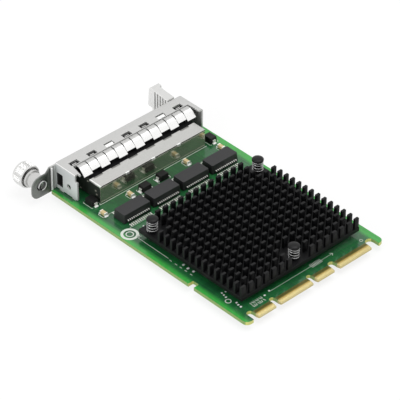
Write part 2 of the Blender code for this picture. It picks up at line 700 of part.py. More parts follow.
def make_bracket():
    """The faceplate with its port windows, flanges, slots, board tabs, ear and ear lip."""
    bracket = bracket_shell()
    half = BRACKET_HALF_WIDTH
    foot = BOARD_THICKNESS + SEAT_GAP
    gap_outline = [
        (FAR_ARM_WIDTH - half, TOP_FLANGE_DEPTH),
        (half - NEAR_ARM_WIDTH, TOP_FLANGE_DEPTH),
        (half - ARM_TIP_WIDTH, BRACKET_DEPTH),
        (half - ARM_TIP_WIDTH, 2 * BRACKET_DEPTH),
        (ARM_TIP_WIDTH - half, 2 * BRACKET_DEPTH),
        (ARM_TIP_WIDTH - half, BRACKET_DEPTH),
    ]
    cut(bracket, plate("gap_between_arms", gap_outline, 4 * SHEET, location=(0, 0, BRACKET_TOP)))
    trims = bmesh.new()
    for side in (-1, 1):
        ends = sorted((side * (half - 2 * SHEET), side * (half + SHEET)))
        add_block(trims, (ends[0], PLATE_REAR, 2 * BRACKET_BOTTOM), (ends[1], 2 * BRACKET_DEPTH, foot))
    cut(bracket, object_of("flange_trims", trims))
    step = bmesh.new()
    add_block(
        step,
        (half - 2 * SHEET, BRACKET_DEPTH - FLANGE_STEP_DEPTH, BRACKET_TOP - FLANGE_STEP_HEIGHT),
        (half + SHEET, 2 * BRACKET_DEPTH, BRACKET_TOP + SHEET),
    )
    add_block(
        step,
        (half - 2 * SHEET, WINDOW_LOW[0], WINDOW_LOW[1]),
        (half + SHEET, WINDOW_HIGH[0], WINDOW_HIGH[1]),
    )
    cut(bracket, object_of("flange_window", step))
    cut(
        bracket,
        cylinder(
            "flange_hole", FLANGE_HOLE_RADIUS, half - 2 * SHEET, half + SHEET, FLANGE_HOLE, "X"
        ),
    )
    slots = bmesh.new()
    for x in SLOT_CENTRES:
        add_block(
            slots,
            (x - SLOT_LENGTH / 2, SLOT_FRONT, BRACKET_TOP - 2 * SHEET),
            (x + SLOT_LENGTH / 2, SLOT_FRONT + SLOT_WIDTH, BRACKET_TOP + SHEET),
        )
    cut(bracket, object_of("clip_slots", slots))
    windows = bmesh.new()
    for x in PORT_CENTRES:
        add_block(
            windows,
            (x - PORT_WIDTH / 2 - PLATE_MARGIN, 2 * PLATE_FRONT, PORT_FLOOR - LATCH_HEIGHT),
            (x + PORT_WIDTH / 2 + PLATE_MARGIN, -PLATE_REAR, PORT_FLOOR + PORT_HEIGHT + PLATE_MARGIN),
        )
    cut(bracket, object_of("port_windows", windows))
    tabs = bmesh.new()
    for side in (-1, 1):
        ends = sorted((side * (half - SHEET), side * half))
        for y in BOARD_TAB_PLACES:
            add_block(tabs, (ends[0], y, -BOARD_TAB_DROP), (ends[1], y + BOARD_TAB_LENGTH, foot + SHEET))
    join(bracket, object_of("board_tabs", tabs))
    ear = plate(
        "ear", ear_outline(), SHEET, "XZ", location=(0, (PLATE_FRONT + PLATE_REAR) / 2, 0)
    )
    join(bracket, ear)
    lip_end = BOARD_WIDTH / 2
    lip = block(
        "ear_lip",
        (lip_end - EAR_LIP_WIDTH, PLATE_REAR - SHEET / 2, foot),
        (lip_end, PLATE_REAR + EAR_LIP_DEPTH, EAR_TOP),
    )
    join(bracket, lip)
    cut(
        bracket,
        cylinder(
            "ferrule_hole",
            FERRULE_SPIGOT_RADIUS + SEAT_GAP,
            PLATE_FRONT - SHEET,
            PLATE_REAR + SHEET,
            (SCREW_X, SCREW_Z),
            "Y",
        ),
    )
    for i, height in enumerate(TAB_PEG_HEIGHTS):
        cut(
            bracket,
            cylinder(
                f"tab_peg_hole_{i + 1}",
                TAB_PEG_RADIUS + SEAT_GAP,
                PLATE_FRONT - SHEET,
                PLATE_REAR + SHEET,
                (TAB_LEFT + TAB_PEG_INSET, height),
                "Y",
                12,
            ),
        )
    return bracket


def strip_base():
    """The section that all of the strip shares: its leg under the flange and the rise behind it."""
    leg_z = BRACKET_TOP - SHEET - STRIP_SEAT - STRIP_THICKNESS / 2
    rise_y = TOP_FLANGE_DEPTH + STRIP_SEAT + STRIP_THICKNESS / 2
    crown = BRACKET_TOP - STRIP_SUNK + STRIP_THICKNESS / 2
    return [
        (rise_y - STRIP_LEG, leg_z),
        (rise_y - STRIP_THICKNESS, leg_z),
        (rise_y, leg_z + STRIP_THICKNESS),
        (rise_y, crown - 2 * STRIP_THICKNESS),
        (rise_y + 1.5 * STRIP_THICKNESS, crown - STRIP_THICKNESS / 2),
    ]


def finger_profile(shorter):
    """One finger's section as (y, z, half slit): level, then bent down at about 45 degrees."""
    start_y, _ = strip_base()[-2]
    crown = BRACKET_TOP - STRIP_SUNK + STRIP_THICKNESS / 2
    arch = [(0.21, -0.01), (0.37, 0.02), (0.50, 0.12), (0.62, 0.30), (0.77, 0.56), (1.0, 1.0)]
    points = [Vector((start_y + u * STRIP_REACH, crown - v * STRIP_DROP)) for u, v in arch]
    last_run = points[-1] - points[-2]
    points[-1] -= last_run.normalized() * shorter
    wide_rows = 3
    return [
        (point.x, point.y, (FINGER_SLIT if i < wide_rows else FINGER_SLIT_TIP) / 2)
        for i, point in enumerate(points)
    ]


def make_finger_strip():
    """The spring strip: a leg under the flange, a rise behind its edge and bent fingers."""
    shape = bmesh.new()
    base = strip_base()
    root = base[-1]
    stations = []
    for i in range(FINGER_COUNT):
        high = STRIP_NEAR_END - i * FINGER_PITCH
        low = high - FINGER_PITCH
        stations += [high - FINGER_SLIT / 2, low + FINGER_SLIT / 2]
        rows = [(*root, FINGER_SLIT / 2)] + finger_profile(STRIP_SHORTER if i % 2 else 0.0)
        pairs = [
            (shape.verts.new((high - half_slit, y, z)), shape.verts.new((low + half_slit, y, z)))
            for y, z, half_slit in rows
        ]
        for a, b in zip(pairs, pairs[1:]):
            shape.faces.new((a[0], a[1], b[1], b[0]))
    rows = [[shape.verts.new((x, y, z)) for x in stations] for y, z in base]
    for a, b in zip(rows, rows[1:]):
        for k in range(len(stations) - 1):
            shape.faces.new((a[k], a[k + 1], b[k + 1], b[k]))
    bmesh.ops.remove_doubles(shape, verts=shape.verts, dist=1e-7)
    strip = object_of("finger_strip", shape, finish=SPRING_STEEL)
    wall = strip.modifiers.new("sheet", "SOLIDIFY")
    wall.thickness = STRIP_THICKNESS
    wall.offset = 0.0
    wall.use_even_offset = True
    lances = bmesh.new()
    leg_y, leg_z = base[0]
    rise = BRACKET_TOP - STRIP_THICKNESS - leg_z
    run = SLOT_FRONT + CLIP_FRONT - leg_y
    for i, x in enumerate(SLOT_CENTRES):
        half = (WIDE_CLIP_WIDTH if i in WIDE_CLIPS else CLIP_WIDTH) / 2
        lance = add_block(
            lances,
            (x - half, -STRIP_THICKNESS / 2, -STRIP_THICKNESS / 2),
            (x + half, math.hypot(rise, run), STRIP_THICKNESS / 2),
        )
        turn = Matrix.Rotation(math.atan2(rise, run), 3, "X")
        bmesh.ops.rotate(lances, matrix=turn, verts=lance)
        bmesh.ops.translate(lances, vec=(0, leg_y, leg_z), verts=lance)
    join(strip, object_of("clip_lances", lances))
    return strip


def make_jack_housing():
    """The moulded block: a wide body on the board, a sunk part in its cut-out, four cavities."""
    shoulder = BOARD_THICKNESS + SEAT_GAP
    top = JACK_TOP - SHIELD_SHEET - SOLDER_FILM
    rear = JACK_REAR - SHIELD_SHEET - SOLDER_FILM
    half = HOUSING_HALF_WIDTH
    housing = block("jack_housing", (-half, JACK_FRONT, shoulder), (half, rear, top), BLACK_PLASTIC)
    sunk = SUNK_HALF_WIDTH
    join(
        housing,
        block(
            "sunk_body",
            (-sunk, JACK_FRONT, JACK_BOTTOM),
            (sunk, SUNK_DEPTH, shoulder + SHIELD_SHEET),
        ),
    )
    cavities = bmesh.new()
    latches = bmesh.new()
    lights = bmesh.new()
    ceiling = PORT_FLOOR + PORT_HEIGHT
    for x in PORT_CENTRES:
        add_block(
            cavities,
            (x - PORT_WIDTH / 2, JACK_FRONT - PORT_DEPTH, PORT_FLOOR),
            (x + PORT_WIDTH / 2, JACK_FRONT + PORT_DEPTH, ceiling),
        )
        add_block(
            latches,
            (x - LATCH_WIDTH / 2, JACK_FRONT - LATCH_DEPTH, PORT_FLOOR - LATCH_HEIGHT),
            (x + LATCH_WIDTH / 2, JACK_FRONT + LATCH_DEPTH, PORT_FLOOR + SHIELD_SHEET),
        )
        for side in (-1, 1):
            add_block(
                lights,
                (
                    x + side * LIGHT_OFFSET - LIGHT_WIDTH / 2 - SOLDER_FILM,
                    JACK_FRONT - LIGHT_DEPTH,
                    PORT_FLOOR - LATCH_HEIGHT + SOLDER_FILM,
                ),
                (
                    x + side * LIGHT_OFFSET + LIGHT_WIDTH / 2 + SOLDER_FILM,
                    JACK_FRONT + LIGHT_DEPTH,
                    PORT_FLOOR - LATCH_HEIGHT + LIGHT_HEIGHT + 3 * SOLDER_FILM,
                ),
            )
    cut(housing, object_of("port_cavities", cavities))
    cut(housing, object_of("latch_channels", latches))
    cut(housing, object_of("light_channels", lights))
    return housing


def make_jack_shield():
    """The tinned steel cover over the rear of the block: top, short skirts, rear wall, tongues."""
    shape = bmesh.new()
    low = BOARD_THICKNESS + SOLDER_FILM
    add_block(
        shape,
        (-JACK_HALF_WIDTH, SHIELD_FRONT, low),
        (JACK_HALF_WIDTH, JACK_REAR, JACK_TOP),
    )
    open_faces = [face for face in shape.faces if face.normal.y < -0.5 or face.normal.z < -0.5]
    bmesh.ops.delete(shape, geom=open_faces, context="FACES")
    mesh = bpy.data.meshes.new("jack_shield")
    shape.to_mesh(mesh)
    shape.free()
    shield = place(bpy.data.objects.new("jack_shield", mesh), finish=TIN)
    wall = shield.modifiers.new("sheet", "SOLIDIFY")
    wall.thickness = SHIELD_SHEET
    wall.offset = -1.0
    wall.use_even_offset = True
    trims = bmesh.new()
    tongues = bmesh.new()
    hooks = bmesh.new()
    for side in (-1, 1):
        ends = sorted((side * (JACK_HALF_WIDTH - 2 * SHIELD_SHEET), side * 2 * JACK_HALF_WIDTH))
        add_block(
            trims,
            (ends[0], SHIELD_FRONT - SHIELD_LENGTH, 0.0),
            (ends[1], JACK_REAR - SHIELD_SHEET, JACK_TOP - SHIELD_SKIRT),
        )
    notch_half = SHIELD_TONGUE_WIDTH / 2 + SHIELD_TONGUE_GAP
    notch_rear = SHIELD_FRONT + SHIELD_TONGUE_LENGTH - SHIELD_TONGUE_GAP
    for i in range(SHIELD_TONGUES):
        finger = STRIP_NEAR_END - (2 * i + 1.5) * FINGER_PITCH
        x = finger + SHIELD_TONGUE_OFFSET
        add_block(
            trims,
            (x - notch_half, SHIELD_FRONT - SHIELD_LENGTH, JACK_TOP - 2 * SHIELD_SHEET),
            (x + notch_half, notch_rear, JACK_TOP + SHIELD_SHEET),
        )
        add_block(
            tongues,
            (x - notch_half + SHIELD_TONGUE_GAP, SHIELD_FRONT, JACK_TOP - SHIELD_SHEET),
            (
                x + notch_half - SHIELD_TONGUE_GAP,
                notch_rear + SHIELD_SHEET,
                JACK_TOP - SHIELD_SHEET / 2,
            ),
        )
    cut(shield, object_of("shield_trims", trims))
    join(shield, object_of("shield_tongues", tongues))
    for i in (-1, 0, 1):
        centre = i * PORT_PITCH
        add_block(
            hooks,
            (centre - SHIELD_HOOK_WIDTH / 2, JACK_REAR - SHIELD_SHEET, JACK_TOP - SHIELD_HOOK_DROP),
            (
                centre + SHIELD_HOOK_WIDTH / 2,
                JACK_REAR + SHIELD_SHEET,
                JACK_TOP + SHIELD_SHEET / 2,
            ),
        )
    join(shield, object_of("shield_hooks", hooks))
    return shield


def make_port_inserts():
    """The contact carrier at the back of each port, with its eight sloping wires."""
    ceiling = PORT_FLOOR + PORT_HEIGHT - SEAT_GAP
    rear = JACK_FRONT + PORT_DEPTH - SEAT_GAP
    half = PORT_WIDTH / 2 - SEAT_GAP
    first = block(
        "port_insert_1",
        (-half, rear - INSERT_DEPTH, PORT_FLOOR + SEAT_GAP),
        (half, rear, ceiling),
        BLACK_PLASTIC,
    )
    wires = bmesh.new()
    root_y = rear - INSERT_DEPTH
    root_z = PORT_FLOOR + WIRE_ROOT_HEIGHT
    for i in range(WIRE_COUNT):
        x = (i - (WIRE_COUNT - 1) / 2) * WIRE_PITCH
        wire = add_block(
            wires,
            (x - WIRE_THICKNESS / 2, -WIRE_LENGTH, -WIRE_THICKNESS / 2),
            (x + WIRE_THICKNESS / 2, WIRE_THICKNESS, WIRE_THICKNESS / 2),
        )
        bmesh.ops.rotate(wires, matrix=Matrix.Rotation(-WIRE_SLOPE, 3, "X"), verts=wire)
        bmesh.ops.translate(wires, vec=(0, root_y, root_z), verts=wire)
    join(first, object_of("port_wires", wires))
    settle(first)
    home = first.location.copy()
    for i, x in enumerate(PORT_CENTRES):
        at = home + Vector((x, 0, 0))
        if i == 0:
            first.location = at
        else:
            copy_of(first, f"port_insert_{i + 1}", at)


def make_port_lights():
    """A green and an amber light pipe below each port, one on each side of its latch."""
    low = PORT_FLOOR - LATCH_HEIGHT + 2 * SOLDER_FILM
    for i, x in enumerate(PORT_CENTRES):
        for side, word, finish in ((-1, "link", GREEN_LENS), (1, "activity", AMBER_LENS)):
            centre = x + side * LIGHT_OFFSET
            block(
                f"{word}_light_{i + 1}",
                (centre - LIGHT_WIDTH / 2, JACK_FRONT, low),
                (centre + LIGHT_WIDTH / 2, JACK_FRONT + LIGHT_DEPTH - SOLDER_FILM, low + LIGHT_HEIGHT),
                finish,
            )


def lead_outline():
    """A gull-wing lead seen from its side: out of the body, down, and out along the board."""
    start = TRANSFORMER_LENGTH / 2 - 2 * LEAD_THICKNESS
    foot_z = BOARD_THICKNESS + SOLDER_FILM
    end = TRANSFORMER_LENGTH / 2 + LEAD_REACH
    bend = end - LEAD_FOOT
    shoulder = TRANSFORMER_LENGTH / 2 + 0.25 * LEAD_REACH
    return [
        (start, LEAD_SHOULDER),
        (shoulder, LEAD_SHOULDER),
        (bend, foot_z + LEAD_THICKNESS),
        (end, foot_z + LEAD_THICKNESS),
        (end, foot_z),
        (bend - LEAD_THICKNESS, foot_z),
        (shoulder - LEAD_THICKNESS, LEAD_SHOULDER - LEAD_THICKNESS),
        (start, LEAD_SHOULDER - LEAD_THICKNESS),
    ]


def make_transformers():
    """The moulded line transformers, each with a row of gull-wing leads on both long sides."""
    shape = bmesh.new()
    low = BOARD_THICKNESS + SEAT_GAP
    half_x, half_y = TRANSFORMER_WIDTH / 2, TRANSFORMER_LENGTH / 2
    body = add_block(shape, (-half_x, -half_y, low), (half_x, half_y, TRANSFORMER_TOP))
    upright = [edge for edge in shape.edges if abs(edge.verts[0].co.z - edge.verts[1].co.z) > low]
    bmesh.ops.bevel(shape, geom=upright, offset=TRANSFORMER_CORNER, segments=2, profile=0.5, affect="EDGES")
    for vert in shape.verts:
        if vert.co.z > low + half_y / 10:
            vert.co.x -= math.copysign(TRANSFORMER_DRAFT, vert.co.x)
            vert.co.y -= math.copysign(TRANSFORMER_DRAFT, vert.co.y)
    first = object_of("line_transformer_1", shape, finish=EPOXY)
    side_leads = bmesh.new()
    outline = lead_outline()
    for side in (-1, 1):
        for i in range(LEAD_COUNT):
            x = (i - (LEAD_COUNT - 1) / 2) * LEAD_PITCH
            rim = [side_leads.verts.new((x - LEAD_WIDTH / 2, side * y, z)) for y, z in outline]
            face = side_leads.faces.new(rim)
            pulled = bmesh.ops.extrude_face_region(side_leads, geom=[face])["geom"]
            moved = [item for item in pulled if isinstance(item, bmesh.types.BMVert)]
            bmesh.ops.translate(side_leads, vec=(LEAD_WIDTH, 0, 0), verts=moved)
    join(first, object_of("transformer_leads", side_leads))
    settle(first)
    for i in range(TRANSFORMER_COUNT):
        x = TRANSFORMER_OFFSET + ((TRANSFORMER_COUNT - 1) / 2 - i) * TRANSFORMER_PITCH
        at = Vector((x, TRANSFORMER_Y, 0))
        if i == 0:
            first.location = at
        else:
            copy_of(first, f"line_transformer_{i + 1}", at)


def pin_is_left_out(column, row):
    """True where a pocket for a push pin takes the place of a pin."""
    last = SINK_COLUMNS - 1
    corner = column < CORNER_POCKET_COLUMNS or column > last - CORNER_POCKET_COLUMNS
    if corner and row < POCKET_ROWS:
        return True
    middle = column in (SINK_COLUMNS // 2 - 1, SINK_COLUMNS // 2)
    return middle and row >= SINK_ROWS - POCKET_ROWS


def make_heat_sink():
    """The black pin-fin sink: a base with a lattice of pins and three pockets for push pins."""
    half_x = (SINK_COLUMNS - 1) / 2 * PIN_PITCH_X + PIN_WIDTH_X / 2 + SINK_MARGIN
    low_y = SINK_FIRST_ROW - PIN_WIDTH_Y / 2 - SINK_MARGIN
    high_y = SINK_LAST_ROW + PIN_WIDTH_Y / 2 + SINK_MARGIN
    sink = block(
        "heat_sink", (-half_x, low_y, SINK_BASE_BOTTOM), (half_x, high_y, SINK_TOP), BLACK_ANODISED
    )
    pins = bmesh.new()
    for column in range(SINK_COLUMNS):
        x = (column - (SINK_COLUMNS - 1) / 2) * PIN_PITCH_X
        for row in range(SINK_ROWS):
            if pin_is_left_out(column, row):
                continue
            y = SINK_FIRST_ROW + row * PIN_PITCH_Y
            add_block(
                pins,
                (x - PIN_WIDTH_X / 2, y - PIN_WIDTH_Y / 2, SINK_TOP - SINK_BASE_THICKNESS / 4),
                (x + PIN_WIDTH_X / 2, y + PIN_WIDTH_Y / 2, SINK_TOP + PIN_HEIGHT),
            )
    join(sink, object_of("sink_pins", pins))
    for i, at in enumerate(PUSH_PIN_PLACES):
        hole = cylinder(
            f"sink_hole_{i + 1}",
            PUSH_PIN_SHANK + SEAT_GAP,
            SINK_BASE_BOTTOM - SINK_BASE_THICKNESS,
            SINK_TOP + SINK_BASE_THICKNESS,
            at,
        )
        cut(sink, hole)
    return sink


def make_chip():
    """The controller package and the grey pad between its cap and the sink."""
    low = BOARD_THICKNESS + SOLDER_FILM
    pad_low = SINK_BASE_BOTTOM - SOLDER_FILM - THERMAL_PAD
    cap_top = pad_low - SOLDER_FILM
    y = CHIP_CENTRE_Y
    wide, narrow, pad = CHIP_WIDTH / 2, CHIP_CAP_WIDTH / 2, THERMAL_PAD_WIDTH / 2
    chip = block(
        "controller_chip", (-wide, y - wide, low), (wide, y + wide, low + CHIP_SUBSTRATE), EPOXY
    )
    cap = block(
        "chip_cap",
        (-narrow, y - narrow, low + CHIP_SUBSTRATE / 2),
        (narrow, y + narrow, cap_top),
    )
    join(chip, cap)
    block("thermal_pad", (-pad, y - pad, pad_low), (pad, y + pad, pad_low + THERMAL_PAD), PAD_GREY)


def make_push_pins():
    """The three sprung push pins that hold the sink: headed, barbed and split below the board."""
    head = PUSH_PIN_HEAD_TOP
    brim = head - PUSH_PIN_HEAD_THICKNESS
    radius = PUSH_PIN_HEAD_RADIUS
    shank = PUSH_PIN_SHANK
    barb = -SEAT_GAP
    profile = [
        (0.0, head),
        (0.6 * radius, head - 0.00005),
        (0.92 * radius, head - 0.0003),
        (radius, head - 0.0007),
        (radius, brim),
        (shank, brim),
        (shank, barb),
        (PUSH_PIN_BARB_RADIUS, barb - 0.0003),
        (0.5 * PUSH_PIN_BARB_RADIUS, -PUSH_PIN_BARB_DROP),
        (0.0, -PUSH_PIN_BARB_DROP),
    ]
    first = turned("push_pin_1", profile, 14, finish=BLACK_PLASTIC)
    split = block(
        "push_pin_split",
        (-2 * radius, -PUSH_PIN_SPLIT / 2, -2 * PUSH_PIN_BARB_DROP),
        (2 * radius, PUSH_PIN_SPLIT / 2, BOARD_THICKNESS / 2),
    )
    cut(first, split)
    settle(first)
    smooth(first)
    low = SINK_TOP + SOLDER_FILM + SPRING_WIRE
    high = brim - SOLDER_FILM - SPRING_WIRE
    coil = bpy.data.curves.new("push_pin_spring", "CURVE")
    coil.dimensions = "3D"
    coil.bevel_depth = SPRING_WIRE
    coil.bevel_resolution = 2
    coil.use_fill_caps = True
    per_turn = 8
    count = round(SPRING_TURNS * per_turn) + 1
    spline = coil.splines.new("POLY")
    spline.points.add(count - 1)
    for i in range(count):
        turn = 2 * math.pi * i / per_turn
        height = low + (high - low) * i / (count - 1)
        x = SPRING_RADIUS * math.cos(turn)
        y = SPRING_RADIUS * math.sin(turn)
        spline.points[i].co = (x, y, height, 1.0)
    for i, (x, y) in enumerate(PUSH_PIN_PLACES):
        if i == 0:
            first.location = (x, y, 0)
        else:
            copy_of(first, f"push_pin_{i + 1}", (x, y, 0))
        spring = bpy.data.objects.new(f"push_pin_spring_{i + 1}", coil)
        PARTS.objects.link(spring)
        spring.parent = CARD
        spring.location = (x, y, 0)
    coil.materials.append(SPRING_STEEL)


def make_thumbscrew():
    """The captive screw: knurled hollow knob, hub, groove and shank, turned about its own axis."""
    cavity = KNOB_RADIUS - KNOB_WALL
    floor = KNOB_FRONT + KNOB_FACE
    groove_front = FERRULE_FRONT + FERRULE_LIP
    groove_rear = groove_front + RING_THICKNESS + 2 * SEAT_GAP
    chamfer = 0.0008
    rim = KNOB_RADIUS - KNURL_DEPTH
    profile = [
        (0.0, SCREW_TIP),
        (SCREW_RADIUS - 0.0003, SCREW_TIP),
        (SCREW_RADIUS, SCREW_TIP - 0.0003),
        (SCREW_RADIUS, groove_rear),
        (SCREW_GROOVE_RADIUS, groove_rear),
        (SCREW_GROOVE_RADIUS, groove_front),
        (HUB_RADIUS, groove_front),
        (HUB_RADIUS, floor),
        (cavity, floor),
        (cavity, KNOB_REAR),
        (rim, KNOB_REAR),
        (rim, KNOB_FRONT + chamfer),
        (rim - chamfer, KNOB_FRONT),
        (0.0, KNOB_FRONT),
    ]
    at = (SCREW_X, 0.0, SCREW_Z)
    screw = turned("thumbscrew", profile, 20, at, TIN, "Y")
    teeth = bmesh.new()
    grip_front = KNOB_FRONT + chamfer + 0.0004
    grip_rear = KNOB_REAR - 0.0006
    half_tooth = math.pi / KNURL_COUNT
    outline = []
    for i in range(KNURL_COUNT):
        outline.append((KNOB_RADIUS, 2 * i * half_tooth))
        outline.append((rim - KNURL_DEPTH / 4, (2 * i + 1) * half_tooth))
    ring = []
    for radius, angle in outline:
        x, z = radius * math.cos(angle), radius * math.sin(angle)
        ring.append(teeth.verts.new((x, grip_front, z)))
    face = teeth.faces.new(ring)
    pulled = bmesh.ops.extrude_face_region(teeth, geom=[face])["geom"]
    moved = [item for item in pulled if isinstance(item, bmesh.types.BMVert)]
    bmesh.ops.translate(teeth, vec=(0, grip_rear - grip_front, 0), verts=moved)
    grip = object_of("knob_grip", teeth, at)
    bore = cylinder(
        "knob_bore",
        cavity + SEAT_GAP / 2,
        KNOB_FRONT - KNOB_FACE,
        0.0,
        (SCREW_X, SCREW_Z),
        "Y",
        20,
    )
    cut(grip, bore)
    join(screw, grip)
    return screw


def make_ferrule():
    """The captive sleeve, seated in the ear by its spigot, with a lip that holds the ring back."""
    inner = FERRULE_RADIUS - FERRULE_WALL
    shoulder = PLATE_FRONT - SEAT_GAP
    lip = HUB_RADIUS + SEAT_GAP
    bore = SCREW_RADIUS + SEAT_GAP
    tail = PLATE_REAR + FERRULE_SPIGOT_PROUD + SEAT_GAP
    spigot = FERRULE_SPIGOT_RADIUS
    rim_rear = FERRULE_FRONT + FERRULE_RIM_LENGTH
    profile = [
        (bore, tail),
        (spigot, tail),
        (spigot, shoulder),
        (FERRULE_RADIUS, shoulder),
        (FERRULE_RADIUS, rim_rear),
        (FERRULE_RIM_RADIUS, rim_rear),
        (FERRULE_RIM_RADIUS, FERRULE_FRONT),
        (lip, FERRULE_FRONT),
        (lip, FERRULE_FRONT + FERRULE_LIP),
        (inner, FERRULE_FRONT + FERRULE_LIP),
        (inner, shoulder - FERRULE_FLOOR),
        (bore, shoulder - FERRULE_FLOOR),
        (bore, tail),
    ]
    return turned("thumbscrew_ferrule", profile, 20, (SCREW_X, 0.0, SCREW_Z), TIN, "Y")


def make_retaining_ring():
    """The split ring in the screw's groove, which travels with it inside the ferrule."""
    front = FERRULE_FRONT + FERRULE_LIP + SEAT_GAP
    outer = FERRULE_RADIUS - FERRULE_WALL - SEAT_GAP
    inner = SCREW_GROOVE_RADIUS + SEAT_GAP
    profile = [
        (inner, front + RING_THICKNESS),
        (outer, front + RING_THICKNESS),
        (outer, front),
        (inner, front),
        (inner, front + RING_THICKNESS),
    ]
    at = (SCREW_X, 0.0, SCREW_Z)
    ring = turned("retaining_ring", profile, 20, at, SPRING_STEEL, "Y")
    gap = block(
        "ring_gap",
        (SCREW_X - PUSH_PIN_SPLIT, front - RING_THICKNESS, SCREW_Z - 2 * outer),
        (SCREW_X + PUSH_PIN_SPLIT, front + 2 * RING_THICKNESS, SCREW_Z),
    )
    return cut(ring, gap)


def make_pull_tab():
    """The moulded grip beside the ports: a wide lip, a ribbed body and stakes in the faceplate."""
    rear = PLATE_FRONT - SEAT_GAP
    lip_end = TAB_FRONT + TAB_LIP_DEPTH
    far = TAB_LEFT + TAB_LIP_PROUD
    near = TAB_LEFT + TAB_WIDTH
    lip_outline = rounded_outline(
        [
            (TAB_FRONT, TAB_LIP_BOTTOM, 0.0007),
            (lip_end, TAB_LIP_BOTTOM, 0.0),
            (lip_end, TAB_TOP, 0.0006),
            (TAB_FRONT + TAB_LEAN, TAB_TOP, 0.0010),
        ]
    )
    body_outline = rounded_outline(
        [
            (lip_end - SEAT_GAP, TAB_BOTTOM, 0.0010),
            (rear, TAB_BOTTOM, 0.0),
            (rear, TAB_REAR_TOP, 0.0),
            (lip_end - SEAT_GAP, TAB_BODY_TOP, 0.0),
        ]
    )
    tab = plate(
        "pull_tab", lip_outline, TAB_WIDTH, "YZ", ((TAB_LEFT + near) / 2, 0, 0), GREY_PLASTIC
    )
    join(tab, plate("tab_body", body_outline, near - far, "YZ", ((far + near) / 2, 0, 0)))
    grooves = bmesh.new()
    slope = (TAB_BODY_TOP - TAB_REAR_TOP) / (rear - lip_end)
    for i in range(GROOVE_COUNT):
        y = lip_end + GROOVE_BEHIND_LIP + i * GROOVE_PITCH
        top = TAB_BODY_TOP - GROOVE_MARGIN - slope * (y - lip_end)
        for face in (far, near):
            add_block(
                grooves,
                (face - GROOVE_DEPTH, y - GROOVE_WIDTH / 2, TAB_BOTTOM + GROOVE_MARGIN),
                (face + GROOVE_DEPTH, y + GROOVE_WIDTH / 2, top),
            )
    cut(tab, object_of("grip_grooves", grooves))
    for i, height in enumerate(TAB_PEG_HEIGHTS):
        at = (TAB_LEFT + TAB_PEG_INSET, height)
        head = PLATE_REAR + SEAT_GAP
        join(tab, cylinder(f"tab_peg_{i + 1}", TAB_PEG_RADIUS, rear - SHEET, head + SHEET / 2, at, "Y", 12))
        join(
            tab,
            cylinder(
                f"tab_stake_{i + 1}", TAB_PEG_HEAD, head, head + TAB_PEG_HEAD_THICKNESS, at, "Y", 12
            ),
        )
    return tab


def make_capacitors():
    """Ceramic chip capacitors beside the jack: a body between two metal end caps."""
    low = BOARD_THICKNESS + SOLDER_FILM
    shape = bmesh.new()
    end = CAPACITOR_LENGTH / 2
    side = CAPACITOR_WIDTH / 2
    inset = 0.00006
    add_block(
        shape,
        (-side + inset, -end + inset, low + inset),
        (side - inset, end - inset, low + CAPACITOR_HEIGHT - inset),
    )
    first = object_of("ceramic_capacitor_1", shape, finish=TAN_CERAMIC)
    caps = bmesh.new()
    add_block(caps, (-side, -end, low), (side, -end + CAPACITOR_CAP, low + CAPACITOR_HEIGHT))
    add_block(caps, (-side, end - CAPACITOR_CAP, low), (side, end, low + CAPACITOR_HEIGHT))
    join(first, object_of("capacitor_caps", caps))
    settle(first)
    for i, (x, behind) in enumerate(CAPACITOR_PLACES):
        at = (x, JACK_REAR + behind, 0)
        if i == 0:
            first.location = at
        else:
            copy_of(first, f"ceramic_capacitor_{i + 1}", at)


def make_diodes():
    """Moulded surge diodes with a flat terminal bent under each end."""
    low = BOARD_THICKNESS + SOLDER_FILM + TERMINAL_THICKNESS / 2
    shape = bmesh.new()
    half_x, half_y = DIODE_LENGTH / 2, DIODE_WIDTH / 2
    add_block(shape, (-half_x, -half_y, low), (half_x, half_y, low + DIODE_HEIGHT))
    for vert in shape.verts:
        if vert.co.z > low + DIODE_HEIGHT / 2:
            vert.co.x -= math.copysign(DIODE_DRAFT, vert.co.x)
            vert.co.y -= math.copysign(DIODE_DRAFT, vert.co.y)
    first = object_of("surge_diode_1", shape, finish=EPOXY)
    ends = bmesh.new()
    middle = low + DIODE_HEIGHT / 2
    foot = BOARD_THICKNESS + SOLDER_FILM
    for side in (-1, 1):
        reach = sorted((side * (half_x - 2 * DIODE_DRAFT), side * (half_x + TERMINAL_REACH)))
        outer = sorted((side * (half_x + TERMINAL_REACH - TERMINAL_THICKNESS), reach[side > 0]))
        inward = sorted((side * (half_x - 2 * TERMINAL_REACH), side * (half_x + TERMINAL_REACH)))
        half = TERMINAL_WIDTH / 2
        top = middle + TERMINAL_THICKNESS
        add_block(ends, (outer[0], -half, foot), (outer[1], half, top))
        add_block(ends, (reach[0], -half, middle), (reach[1], half, top))
        add_block(ends, (inward[0], -half, foot), (inward[1], half, foot + TERMINAL_THICKNESS))
    bars = object_of("diode_terminals", ends)
    change = combine(first, bars, "UNION").modifiers[-1]
    change.use_self = True
    settle(first)
    for i, (x, y, turn) in enumerate(DIODE_PLACES):
        at = (x, y, 0)
        if i == 0:
            first.location = at
            first.rotation_euler = (0, 0, math.radians(turn))
        else:
            copy_of(first, f"surge_diode_{i + 1}", at, turn)


make_board()
make_bracket()
make_finger_strip()
make_jack_housing()
make_jack_shield()
make_port_inserts()
make_port_lights()
make_transformers()
make_heat_sink()
make_chip()
make_push_pins()
make_thumbscrew()
make_ferrule()
make_retaining_ring()
make_pull_tab()
make_capacitors()
make_diodes()
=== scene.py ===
# %% [markdown]
# # Dressing a small server network card
#
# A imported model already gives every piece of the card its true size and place. This lesson adds
# what a camera sees on top of that: rounded edges, knurling, coils, plated contacts, printed lines
# and a finish for every surface. Read it from top to bottom; each step says what the real piece is
# and why it is made the way it is.

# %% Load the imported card
import math

import bmesh
import bpy
from mathutils import Matrix, Vector


